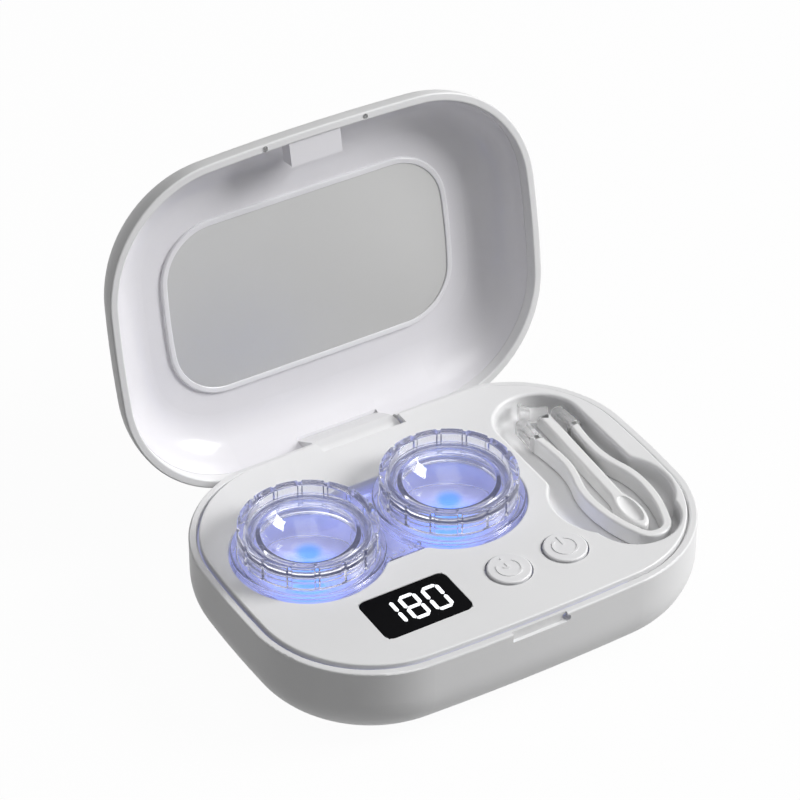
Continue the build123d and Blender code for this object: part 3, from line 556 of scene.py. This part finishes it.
class Finishes:
    """Every finish of the part, made once."""

    def __init__(self) -> None:
        """Make the finishes."""
        self.shell = MouldedPlastic("shell white", "shell_plastic", (0.80, 0.80, 0.805), 0.42)
        self.deck = DeckPlastic("deck white", "deck_plastic", (0.84, 0.84, 0.845), 0.38)
        self.liner = MouldedPlastic(
            "liner gloss white", "liner_plastic", (0.80, 0.79, 0.82), 0.2, grain=0.000001
        )
        self.bezel = MouldedPlastic(
            "bezel gloss white", "bezel_plastic", (0.83, 0.825, 0.85), 0.18, grain=0.000001
        )
        self.mirror = Silvering("mirror film", "mirror_glass", (0.60, 0.60, 0.595), 0.42)
        self.window = MouldedPlastic(
            "smoked window", "window_glass", (0.004, 0.004, 0.005), 0.12, grain=0.0, specular=0.03
        )
        self.digit = Glow("figure light", "digit_light", (0.95, 0.97, 1.0), 0.8)
        self.key = MouldedPlastic("key white", "key_plastic", (0.84, 0.84, 0.85), 0.35)
        self.clear = LitClearPlastic("clear cup plastic", "clear_plastic", (0.95, 0.955, 1.0))
        self.seal = ClearPlastic("seal silicone", "seal_silicone", (0.8, 0.82, 0.95), 0.25, 1.41)
        self.tool = MouldedPlastic("tool white", "tool_plastic", (0.86, 0.86, 0.86), 0.3)
        self.soft = ClearPlastic(
            "soft clear", "soft_clear", (0.93, 0.93, 0.935), 0.2, 1.35, clarity=0.86
        )
        self.pad = MouldedPlastic("pad grey", "pad_rubber", (0.55, 0.55, 0.56), 0.7, 0.00002, 900)
        self.board = Laminate("board green", "board_laminate", (0.02, 0.16, 0.07))
        self.module = MouldedPlastic("module black", "module_plastic", (0.02, 0.02, 0.022), 0.5)
        self.switch = MouldedPlastic("switch black", "switch_plastic", (0.03, 0.03, 0.03), 0.45)
        self.steel = Metal("plated steel", "steel", (0.62, 0.62, 0.63), 0.28)
        self.magnet = Metal("nickel", "magnet_metal", (0.66, 0.65, 0.62), 0.2)
        self.ceramic = Metal("disc brass", "ceramic_disc", (0.78, 0.62, 0.33), 0.35)
        self.led = Glow("blue light", "led_resin", (0.05, 0.32, 1.0), 3.0)
        self.lamp_window = Glow("lit window", "clear_plastic", (0.12, 0.40, 1.0), 1.5)
        self.foil = Metal("cell foil", "cell_foil", (0.7, 0.7, 0.72), 0.38)
        self.made: dict[str, bpy.types.Material] = {}

    def material(self, finish: Finish) -> bpy.types.Material:
        """Material of a finish, made on first use."""
        if finish.name not in self.made:
            self.made[finish.name] = finish.build()
        return self.made[finish.name]


# ---- shared modelling ----
class Workshop:
    """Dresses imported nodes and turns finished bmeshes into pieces."""

    def __init__(self, nodes: dict[str, bpy.types.Object]) -> None:
        """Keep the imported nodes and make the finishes.

        Args:
            nodes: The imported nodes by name.
        """
        self.nodes = nodes
        self.finishes = Finishes()

    def dress(self, name: str, finish: Finish) -> None:
        """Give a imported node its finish."""
        node = self.nodes[name]
        node.data.materials.clear()
        node.data.materials.append(self.finishes.material(finish))
        log.info("dressed %s with %s", name, finish.name)

    def finish(
        self,
        bm: bmesh.types.BMesh,
        name: str,
        body: Body,
        finish: Finish,
        replaced: tuple[str, ...] = (),
        sharp: float = 35.0,
        opened: bool = False,
    ) -> bpy.types.Object:
        """Turn a bmesh in millimetres into a piece in place.

        Args:
            bm: The shape, in millimetres and in the place of its piece. It is freed.
            name: Name of the piece.
            body: Body that it rides on.
            finish: Its finish.
            replaced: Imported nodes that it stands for.
            sharp: Angle in degrees above which an edge stays sharp.
            opened: True for a lid piece drawn shut, which is swung open.

        Returns:
            The finished object.
        """
        if opened:
            turn = Matrix.Rotation(math.radians(-OPEN_DEGREES), 4, "X")
            centre = Matrix.Translation(HINGE)
            bm.transform(centre @ turn @ centre.inverted())
        bm.transform(Matrix.Scale(MM, 4))
        mesh = bpy.data.meshes.new(name)
        bm.to_mesh(mesh)
        bm.free()
        mesh.polygons.foreach_set("use_smooth", [True] * len(mesh.polygons))
        mesh.set_sharp_from_angle(angle=math.radians(sharp))
        mesh.materials.append(self.finishes.material(finish))
        piece = bpy.data.objects.new(name, mesh)
        bpy.context.scene.collection.objects.link(piece)
        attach(piece, body.value)
        if replaced:
            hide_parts(*replaced)
        log.info("made %s, %d faces", name, len(mesh.polygons))
        return piece


def clean(bm: bmesh.types.BMesh, gap: float = 0.0005) -> None:
    """Merge doubles and point every face outwards."""
    bmesh.ops.remove_doubles(bm, verts=bm.verts, dist=gap)
    bmesh.ops.recalc_face_normals(bm, faces=bm.faces)


def rounded(section: list[tuple[float, float, float]], steps: int) -> list[Point2]:
    """Open line through the corners of a section, each rounded with its own radius.

    Args:
        section: (u, v, radius) of each corner; the radius of the ends is ignored.
        steps: Segments of each round.

    Returns:
        The points of the rounded line.
    """
    line: list[Point2] = [section[0][:2]]
    for before, here, after in zip(section, section[1:], section[2:]):
        radius = here[2]
        at = Vector(here[:2])
        back = (Vector(before[:2]) - at).normalized()
        on = (Vector(after[:2]) - at).normalized()
        half = back.angle(on) / 2
        if radius <= 0 or half > NEARLY_STRAIGHT:
            line.append(here[:2])
            continue
        reach = radius / math.tan(half)
        centre = at + (back + on).normalized() * (radius / math.sin(half))
        start = at + back * reach - centre
        end = at + on * reach - centre
        swing = math.atan2(start.cross(end), start.dot(end))
        for index in range(steps + 1):
            turn = Matrix.Rotation(swing * index / steps, 2)
            point = centre + turn @ start
            line.append((point.x, point.y))
    line.append(section[-1][:2])
    return line


def turned(profile: list[Point2], steps: int, closed: bool = False) -> bmesh.types.BMesh:
    """Spin a profile of (radius, height) about the Z axis.

    Args:
        profile: Points of the profile.
        steps: Segments of the full turn.
        closed: True if the last point joins the first.

    Returns:
        The turned shape.
    """
    bm = bmesh.new()
    verts = [bm.verts.new((r, 0.0, z)) for r, z in profile]
    pairs = list(zip(verts, verts[1:]))
    if closed:
        pairs.append((verts[-1], verts[0]))
    edges = [bm.edges.new(pair) for pair in pairs]
    bmesh.ops.spin(
        bm,
        geom=verts + edges,
        cent=(0, 0, 0),
        axis=(0, 0, 1),
        dvec=(0, 0, 0),
        angle=math.tau,
        steps=steps,
        use_merge=True,
        use_normal_flip=False,
        use_duplicate=False,
    )
    clean(bm)
    return bm


def to_cup(bm: bmesh.types.BMesh, side: Side) -> None:
    """Move a shape from the Z axis to a cup's axis."""
    bmesh.ops.translate(bm, verts=bm.verts, vec=(side.value, CUP_Y, 0.0))


def fresh_verts(made: list[object]) -> list[bmesh.types.BMVert]:
    """Vertices among the geometry that an extrusion made."""
    return [item for item in made if isinstance(item, bmesh.types.BMVert)]


@dataclass(frozen=True)
class Oval:
    """Oval of side, corner and end arcs that run into each other."""

    half_length: float
    half_width: float
    side: float
    corner: float
    end: float
    side_steps: int = 20
    corner_steps: int = 30
    end_steps: int = 16

    def stations(self) -> list[tuple[Vector, Vector]]:
        """Points round the oval with their outward normals.

        Returns:
            (point, normal) pairs, counter-clockwise from +X.
        """
        side_centre = Vector((0.0, self.half_width - self.side))
        end_centre = Vector((self.half_length - self.end, 0.0))
        reach_side = self.side - self.corner
        reach_end = self.end - self.corner
        apart = (end_centre - side_centre).length
        along = (reach_side**2 - reach_end**2 + apart**2) / (2 * apart)
        across = math.sqrt(reach_side**2 - along**2)
        unit = (end_centre - side_centre) / apart
        middle = side_centre + unit * along + Vector((unit.y, -unit.x)) * across
        t_end = math.atan2(*reversed(middle - end_centre))
        t_side = math.atan2(*reversed(middle - side_centre))
        quarter: list[tuple[Vector, float]] = []
        arcs = (
            (end_centre, self.end, 0.0, t_end, self.end_steps // 2),
            (middle, self.corner, t_end, t_side, self.corner_steps),
            (side_centre, self.side, t_side, math.pi / 2, self.side_steps // 2),
        )
        for centre, radius, start, stop, steps in arcs:
            for index in range(steps):
                angle = start + (stop - start) * index / steps
                spot = centre + radius * Vector((math.cos(angle), math.sin(angle)))
                quarter.append((spot, angle))
        top = (Vector((0.0, self.half_width)), math.pi / 2)
        half = quarter + [top]
        half += [(Vector((-p.x, p.y)), math.pi - a) for p, a in reversed(quarter)]
        whole = half + [(Vector((p.x, -p.y)), -a) for p, a in reversed(half[1:-1])]
        return [(p, Vector((math.cos(a), math.sin(a)))) for p, a in whole]


def oval_ring(oval: Oval, profile: list[Point2]) -> bmesh.types.BMesh:
    """Carry a closed profile of (inset, height) round an oval.

    Args:
        oval: The outline.
        profile: Inset from the outline and height of each ring.

    Returns:
        The closed ring.
    """
    bm = bmesh.new()
    mark = bm.verts.layers.int.new("station")
    stations = oval.stations()

    def settle(verts: list[bmesh.types.BMVert], inset: float, height: float) -> None:
        """Put a ring's vertices at its inset and height."""
        for vert in verts:
            point, normal = stations[vert[mark]]
            flat = point - normal * inset
            vert.co = (flat.x, flat.y, height)

    ring = []
    for index in range(len(stations)):
        vert = bm.verts.new()
        vert[mark] = index
        ring.append(vert)
    edges = [bm.edges.new((a, b)) for a, b in zip(ring, ring[1:] + ring[:1])]
    first = edges
    settle(ring, *profile[0])
    for inset, height in profile[1:]:
        made = bmesh.ops.extrude_edge_only(bm, edges=edges)["geom"]
        verts = fresh_verts(made)
        fresh = set(verts)
        edges = [
            item
            for item in made
            if isinstance(item, bmesh.types.BMEdge) and fresh.issuperset(item.verts)
        ]
        settle(verts, inset, height)
    bmesh.ops.bridge_loops(bm, edges=first + edges)
    bmesh.ops.recalc_face_normals(bm, faces=bm.faces)
    return bm


# ---- sub-assemblies ----
@dataclass
class BaseShell:
    """Tub of the case with its foot pad, screws and hinge pin."""

    shop: Workshop

    def build(self) -> None:
        """Dress the tub's nodes."""
        self.shop.dress("base_shell", self.shop.finishes.shell)
        self.shop.dress("foot_pad", self.shop.finishes.pad)
        self.shop.dress("case_screws", self.shop.finishes.steel)
        self.shop.dress("hinge_pin", self.shop.finishes.steel)


@dataclass
class DeckPanel:
    """Top panel with the lens well and the tool recess."""

    shop: Workshop

    def build(self) -> None:
        """Dress the panel and the magnet under it."""
        self.shop.dress("deck_panel", self.shop.finishes.deck)
        self.shop.dress("base_magnet", self.shop.finishes.magnet)


@dataclass
class Display:
    """Smoked window with lit figures over the display module."""

    shop: Workshop

    def build(self) -> None:
        """Dress the display."""
        self.shop.dress("display_window", self.shop.finishes.window)
        self.shop.dress("display_digits", self.shop.finishes.digit)
        self.shop.dress("display_module", self.shop.finishes.module)


@dataclass
class Keys:
    """Two round keys with their switches."""

    shop: Workshop

    def build(self) -> None:
        """Dress the keys."""
        for name in ("timer_button", "power_button"):
            self.shop.dress(name, self.shop.finishes.key)
        for name in ("timer_plunger", "power_plunger", "tact_switches"):
            self.shop.dress(name, self.shop.finishes.switch)


@dataclass
class InnerWorks:
    """Boards, cell, socket, lights and vibration discs inside the case."""

    shop: Workshop

    def build(self) -> None:
        """Dress the inner pieces."""
        finishes = self.shop.finishes
        for name in ("main_board", "led_board", "charge_board"):
            self.shop.dress(name, finishes.board)
        self.shop.dress("board_screws", finishes.steel)
        self.shop.dress("battery", finishes.foil)
        self.shop.dress("usb_socket", finishes.steel)
        self.shop.dress("vibration_discs", finishes.ceramic)
        self.shop.dress("blue_leds", finishes.led)
        self.shop.dress("light_windows", finishes.lamp_window)


@dataclass
class LensCase:
    """Clear two-cup lens case: each cup a bowl on a skirt with a threaded neck, and a web."""

    shop: Workshop
    skirt: float = 15.7
    wall: float = 1.2
    skirt_low: float = 12.3
    skirt_top: float = 21.7
    bowl: float = 11.3
    neck: float = 12.6
    mouth: float = 24.2
    floor: float = 13.7
    floor_wall: float = 1.0
    bowl_round: float = 5.0
    neck_plain: float = 0.6
    neck_rings: int = 28
    mouth_plain: float = 0.35
    thread_pitch: float = 1.5
    thread_depth: float = 0.28
    thread_valley: float = 0.35
    thread_fade: float = 0.5
    thread_catch: float = 0.01
    web_front: float = 10.2
    web_rear: float = 10.4
    web_thickness: float = 1.6
    web_gap: float = 0.04
    beads: int = 5
    bead_pitch: float = 1.9
    bead_radius: float = 0.55
    bead_inset: float = 1.0
    bead_lift: float = 0.5
    seal_gap: float = 0.08
    seal_height: float = 0.45
    seal_inset: float = 0.15
    seal_edge: float = 0.1

    def build(self) -> None:
        """Make the case and its seals."""
        shape = bmesh.new()
        for side in Side:
            self.add(shape, self.cup(side))
        self.add(shape, self.web())
        self.shop.finish(
            shape,
            "lens_cups",
            Body.LENS_CASE,
            self.shop.finishes.clear,
            ("lens_case",),
            CUP_SHARP_DEGREES,
        )
        self.seal(Side.LEFT, Body.LEFT_SEAL, "left_seal_ring", "left_seal")
        self.seal(Side.RIGHT, Body.RIGHT_SEAL, "right_seal_ring", "right_seal")

    def seal(self, side: Side, body: Body, name: str, node: str) -> None:
        """Make one seal on the mouth of its neck.

        Args:
            side: Cup that it seals.
            body: Body that it rides on.
            name: Name of the piece.
            node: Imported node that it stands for.
        """
        low = self.mouth + self.seal_gap
        top = low + self.seal_height
        inner, outer = self.bowl + self.seal_inset, self.neck - self.seal_inset
        middle, edge = (low + top) / 2, self.seal_edge
        section = [
            (inner, middle, 0.0),
            (inner, low, edge),
            (outer, low, edge),
            (outer, top, edge),
            (inner, top, edge),
            (inner, middle, 0.0),
        ]
        bm = turned(rounded(section, 3)[:-1], CUP_STEPS, closed=True)
        to_cup(bm, side)
        self.shop.finish(bm, name, body, self.shop.finishes.seal, (node,), CUP_SHARP_DEGREES)

    @staticmethod
    def add(shape: bmesh.types.BMesh, more: bmesh.types.BMesh) -> None:
        """Add one shape to another and free it."""
        mesh = bpy.data.meshes.new("carry")
        more.to_mesh(mesh)
        more.free()
        shape.from_mesh(mesh)
        bpy.data.meshes.remove(mesh)

    def cup(self, side: Side) -> bmesh.types.BMesh:
        """Bowl, skirt and neck of one cup.

        Args:
            side: Which cup.

        Returns:
            The cup in its place.
        """
        inner_skirt = self.skirt - self.wall
        roof = self.skirt_top - self.wall
        under = self.floor - self.floor_wall
        start, stop = self.skirt_top + self.neck_plain, self.mouth - self.mouth_plain
        low = [
            (0.0, under, 0.0),
            (self.neck, under, self.bowl_round + self.neck - self.bowl),
            (self.neck, roof, 0.4),
            (inner_skirt, roof, 0.5),
            (inner_skirt, self.skirt_low, 0.15),
            (self.skirt, self.skirt_low, 0.25),
            (self.skirt, self.skirt_top, 0.5),
            (self.neck, self.skirt_top, 0.3),
            (self.neck, start, 0.0),
        ]
        rings = range(1, self.neck_rings + 1)
        neck = [(self.neck, start + (stop - start) * i / self.neck_rings) for i in rings]
        high = [
            (self.neck, stop, 0.0),
            (self.neck, self.mouth, 0.25),
            (self.bowl, self.mouth, 0.25),
            (self.bowl, self.floor, self.bowl_round),
            (0.0, self.floor, 0.0),
        ]
        bm = turned(rounded(low, 8) + neck + rounded(high, 10)[1:], CUP_STEPS)
        self.thread(bm, start, stop)
        to_cup(bm, side)
        return bm

    def thread(self, bm: bmesh.types.BMesh, start: float, stop: float) -> None:
        """Swell the neck of a cup on the Z axis into a thread that fades at both ends.

        Args:
            bm: The cup.
            start: Height where the thread starts.
            stop: Height where it ends.
        """
        for vert in bm.verts:
            flat = Vector(vert.co[:2])
            height = vert.co.z
            off_neck = abs(flat.length - self.neck) > self.thread_catch
            if off_neck or not start < height < stop:
                continue
            phase = (height - start) / self.thread_pitch
            phase -= math.atan2(flat.y, flat.x) / math.tau
            ridge = max(0.0, math.cos(phase * math.tau) - self.thread_valley)
            ridge /= 1 - self.thread_valley
            fade = min(1.0, (height - start) / self.thread_fade, (stop - height) / self.thread_fade)
            grow = 1 + self.thread_depth * ridge * fade / self.neck
            vert.co.x *= grow
            vert.co.y *= grow

    def web(self) -> bmesh.types.BMesh:
        """Plate between the cups, with beads along its front lip."""
        bm = bmesh.new()
        bmesh.ops.create_grid(bm, x_segments=16, y_segments=24, size=1.0)
        left, right = Side.LEFT.value, Side.RIGHT.value
        reach = self.skirt + self.web_gap
        for vert in bm.verts:
            y = -self.web_front + (vert.co.y + 1) / 2 * (self.web_front + self.web_rear)
            edge = math.sqrt(reach**2 - y**2)
            start, end = left + edge, right - edge
            x = start + (vert.co.x + 1) / 2 * (end - start)
            vert.co = (x, CUP_Y + y, RIM_Z)
        made = bmesh.ops.extrude_face_region(bm, geom=bm.faces[:])["geom"]
        thickness = (0.0, 0.0, -self.web_thickness)
        bmesh.ops.translate(bm, verts=fresh_verts(made), vec=thickness)
        clean(bm)
        first = (left + right - (self.beads - 1) * self.bead_pitch) / 2
        y = CUP_Y - self.web_front + self.bead_inset
        for index in range(self.beads):
            x = first + index * self.bead_pitch
            place = Matrix.Translation((x, y, RIM_Z + self.bead_lift))
            bmesh.ops.create_uvsphere(
                bm, u_segments=16, v_segments=10, radius=self.bead_radius, matrix=place
            )
        return bm


@dataclass
class ScrewCap:
    """Clear screw cap with a raised rim, a dished window and a gripping edge."""

    shop: Workshop
    grips: int = 16
    steps_per_grip: int = 18
    radius: float = 14.3
    bore: float = 12.95
    low: float = 22.25
    top: float = 27.7
    roof: float = 24.75
    rim_width: float = 2.0
    ledge: float = 25.7
    dish: float = 9.6
    dish_taper: float = 0.5
    dish_step: float = 0.7
    dish_drop: float = 5.3
    plate: float = 1.0
    plug_taper: float = 0.6
    grip_depth: float = 0.45
    grip_reach: float = 0.5
    grip_half_steps: float = 1.5

    def build(self) -> None:
        """Make both caps."""
        self.cap(Side.LEFT, Body.LEFT_CAP, "left_screw_cap", "left_cap")
        self.cap(Side.RIGHT, Body.RIGHT_CAP, "right_screw_cap", "right_cap")

    def profile(self) -> list[Point2]:
        """Section of the cap, from the axis below to the axis above."""
        inner = self.dish - self.dish_taper
        plug = self.dish + self.plate
        plug_low = plug - self.plug_taper
        dish_top, dish_low = self.ledge - self.dish_step, self.ledge - self.dish_drop
        upper = self.bowl(inner, dish_top, dish_low)
        lower = self.bowl(plug_low, dish_top - self.plate, dish_low - self.plate)
        section = [
            (plug_low, dish_top - self.plate, 0.0),
            (plug, self.roof, 0.15),
            (self.bore, self.roof, 0.3),
            (self.bore, self.low, 0.1),
            (self.radius, self.low, 0.3),
            (self.radius, self.top, 0.35),
            (self.radius - self.rim_width, self.top, 0.25),
            (self.radius - self.rim_width, self.ledge, 0.2),
            (self.dish, self.ledge, 0.25),
            (inner, dish_top, 0.0),
        ]
        return lower[::-1] + rounded(section, 5)[1:-1] + upper

    @staticmethod
    def bowl(radius: float, rim: float, bottom: float, steps: int = 14) -> list[Point2]:
        """Dish from its rim to the axis, level at the axis.

        Args:
            radius: Radius of the dish at its rim.
            rim: Height of the rim.
            bottom: Height at the axis.
            steps: Segments of the line.

        Returns:
            Points from the rim to the axis.
        """
        line = []
        sphere = (radius**2 + (rim - bottom) ** 2) / (2 * (rim - bottom))
        for index in range(steps + 1):
            reach = radius * (1 - index / steps)
            line.append((reach, bottom + sphere - math.sqrt(sphere**2 - reach**2)))
        return line

    def cap(self, side: Side, body: Body, name: str, node: str) -> None:
        """Make one cap.

        Args:
            side: Cup that it closes.
            body: Body that it rides on.
            name: Name of the piece.
            node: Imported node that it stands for.
        """
        steps = self.grips * self.steps_per_grip
        bm = turned(self.profile(), steps)
        share = math.tau / self.grips
        for vert in bm.verts:
            flat = Vector(vert.co[:2])
            angle = math.atan2(flat.y, flat.x) % share
            away = min(angle, share - angle) / (math.tau / steps)
            if flat.length < self.radius - self.grip_reach or away >= self.grip_half_steps:
                continue
            shrink = 1 - self.grip_depth / flat.length
            vert.co.x *= shrink
            vert.co.y *= shrink
        to_cup(bm, side)
        self.shop.finish(bm, name, body, self.shop.finishes.clear, (node,), CUP_SHARP_DEGREES)


@dataclass
class Tools:
    """Tweezers with soft tips and the applicator stick with its suction cup."""

    shop: Workshop

    def build(self) -> None:
        """Dress the tools."""
        finishes = self.shop.finishes
        self.shop.dress("tweezers", finishes.tool)
        self.shop.dress("applicator_stick", finishes.tool)
        self.shop.dress("tweezer_tips", finishes.soft)
        self.shop.dress("suction_cup", finishes.soft)


@dataclass
class Lid:
    """Lid with its liner, mirror and magnet block."""

    shop: Workshop
    mirror: Oval = Oval(34.6, 20.3, 4000.0, 13.1, 145.0)
    roof: float = 30.6
    bead_outer: float = 0.6
    bead_inner: float = 1.9
    bead_rise: float = 0.7
    bead_outer_round: float = 0.4
    bead_inner_round: float = 0.2

    def build(self) -> None:
        """Dress the lid and make the bead round its mirror."""
        finishes = self.shop.finishes
        low = self.roof - self.bead_rise
        section = [
            (self.bead_outer, self.roof, 0.0),
            (self.bead_outer, low, self.bead_outer_round),
            (self.bead_inner, low, self.bead_inner_round),
            (self.bead_inner, self.roof, 0.0),
        ]
        bead = oval_ring(self.mirror, rounded(section, 6))
        replaced = ("mirror_bezel",)
        self.shop.finish(bead, "mirror_bead", Body.LID, finishes.bezel, replaced, opened=True)
        self.shop.dress("lid_shell", finishes.shell)
        self.shop.dress("lid_liner", finishes.liner)
        self.shop.dress("mirror", finishes.mirror)
        self.shop.dress("magnet_block", finishes.liner)
        self.shop.dress("lid_magnet", finishes.magnet)
        self.shop.dress("rim_bumper", finishes.soft)


@dataclass
class Studio:
    """Pale floor, soft lamps, white surroundings and the camera.

    Places and sizes are in metres, the lens and its sensor in millimetres.
    """

    eye: Place = (-0.3171, -0.5127, 0.5106)
    aim: Place = (-0.0040, 0.0106, 0.0454)
    lens: float = 172.81
    sensor: float = 36.0
    view_reach: float = 20.0
    surround: float = 0.12
    floor_size: float = 6.0
    floor_grey: float = 0.36
    floor_glow: float = 1.04
    floor_glow_share: float = 0.93
    floor_roughness: float = 0.9
    key_place: Place = (0.92, -0.52, 0.74)
    key_size: float = 0.5
    key_power: float = 15.0
    top_place: Place = (-0.05, -0.15, 1.1)
    top_size: float = 0.8
    top_power: float = 3.0

    def build(self) -> None:
        """Set up the studio."""
        scene = bpy.context.scene
        scene.view_settings.view_transform = "Standard"
        self.floor()
        self.world()
        self.lamp("key softbox", self.key_place, self.key_size, self.key_power)
        self.lamp("top softbox", self.top_place, self.top_size, self.top_power)
        self.camera()

    def floor(self) -> None:
        """Lay the floor, white to the camera and greyer to the light."""
        bm = bmesh.new()
        bmesh.ops.create_grid(bm, x_segments=1, y_segments=1, size=self.floor_size)
        mesh = bpy.data.meshes.new("floor")
        bm.to_mesh(mesh)
        bm.free()
        floor = bpy.data.objects.new("floor", mesh)
        bpy.context.scene.collection.objects.link(floor)
        sheet = NodeSheet("floor white")
        grey = self.floor_grey
        sheet.set(Base_Color=(grey, grey, grey, 1.0), Roughness=self.floor_roughness)
        shine = sheet.add("ShaderNodeEmission")
        shine.inputs["Strength"].default_value = self.floor_glow
        mix = sheet.add("ShaderNodeMixShader")
        seen = sheet.math("MULTIPLY", direct_rays(sheet.tree), self.floor_glow_share)
        sheet.join(seen, mix.inputs["Fac"])
        sheet.join(sheet.shader.outputs["BSDF"], mix.inputs[1])
        sheet.join(shine.outputs["Emission"], mix.inputs[2])
        sheet.join(mix.outputs["Shader"], sheet.output.inputs["Surface"])
        mesh.materials.append(sheet.material)

    def world(self) -> None:
        """Light the surroundings evenly and show them white."""
        world = bpy.data.worlds.new("surroundings")
        bpy.context.scene.world = world
        world.use_nodes = True
        tree = world.node_tree
        tree.nodes.clear()
        soft = tree.nodes.new("ShaderNodeBackground")
        soft.inputs["Strength"].default_value = self.surround
        white = tree.nodes.new("ShaderNodeBackground")
        white.inputs["Strength"].default_value = 1.0
        mix = tree.nodes.new("ShaderNodeMixShader")
        tree.links.new(direct_rays(tree), mix.inputs["Fac"])
        tree.links.new(soft.outputs[0], mix.inputs[1])
        tree.links.new(white.outputs[0], mix.inputs[2])
        out = tree.nodes.new("ShaderNodeOutputWorld")
        tree.links.new(mix.outputs["Shader"], out.inputs["Surface"])

    def lamp(self, name: str, place: Place, size: float, power: float) -> None:
        """Hang a square soft lamp that faces the case.

        Args:
            name: Name of the lamp.
            place: Where it hangs.
            size: Length of its side.
            power: Its power in watts.
        """
        data = bpy.data.lights.new(name, "AREA")
        data.size = size
        data.energy = power
        lamp = bpy.data.objects.new(name, data)
        lamp.location = place
        away = Vector(self.aim) - Vector(place)
        lamp.rotation_euler = away.to_track_quat("-Z", "Y").to_euler()
        bpy.context.scene.collection.objects.link(lamp)

    def camera(self) -> None:
        """Set the camera."""
        data = bpy.data.cameras.new("camera")
        data.lens = self.lens
        data.sensor_width = self.sensor
        data.clip_end = self.view_reach
        camera = bpy.data.objects.new("camera", data)
        camera.location = self.eye
        away = Vector(self.aim) - Vector(self.eye)
        camera.rotation_euler = away.to_track_quat("-Z", "Y").to_euler()
        bpy.context.scene.collection.objects.link(camera)
        bpy.context.scene.camera = camera


PARTS: tuple[type, ...] = (
    BaseShell,
    DeckPanel,
    Display,
    Keys,
    InnerWorks,
    LensCase,
    ScrewCap,
    Tools,
    Lid,
)


def main() -> None:
    """Build the scene in order."""
    logging.basicConfig(level=logging.INFO, format="%(name)s: %(message)s")
    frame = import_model()
    shop = Workshop(frame["nodes"])
    Studio().build()
    for part in PARTS:
        part(shop).build()


if __name__ == "__main__":
    main()
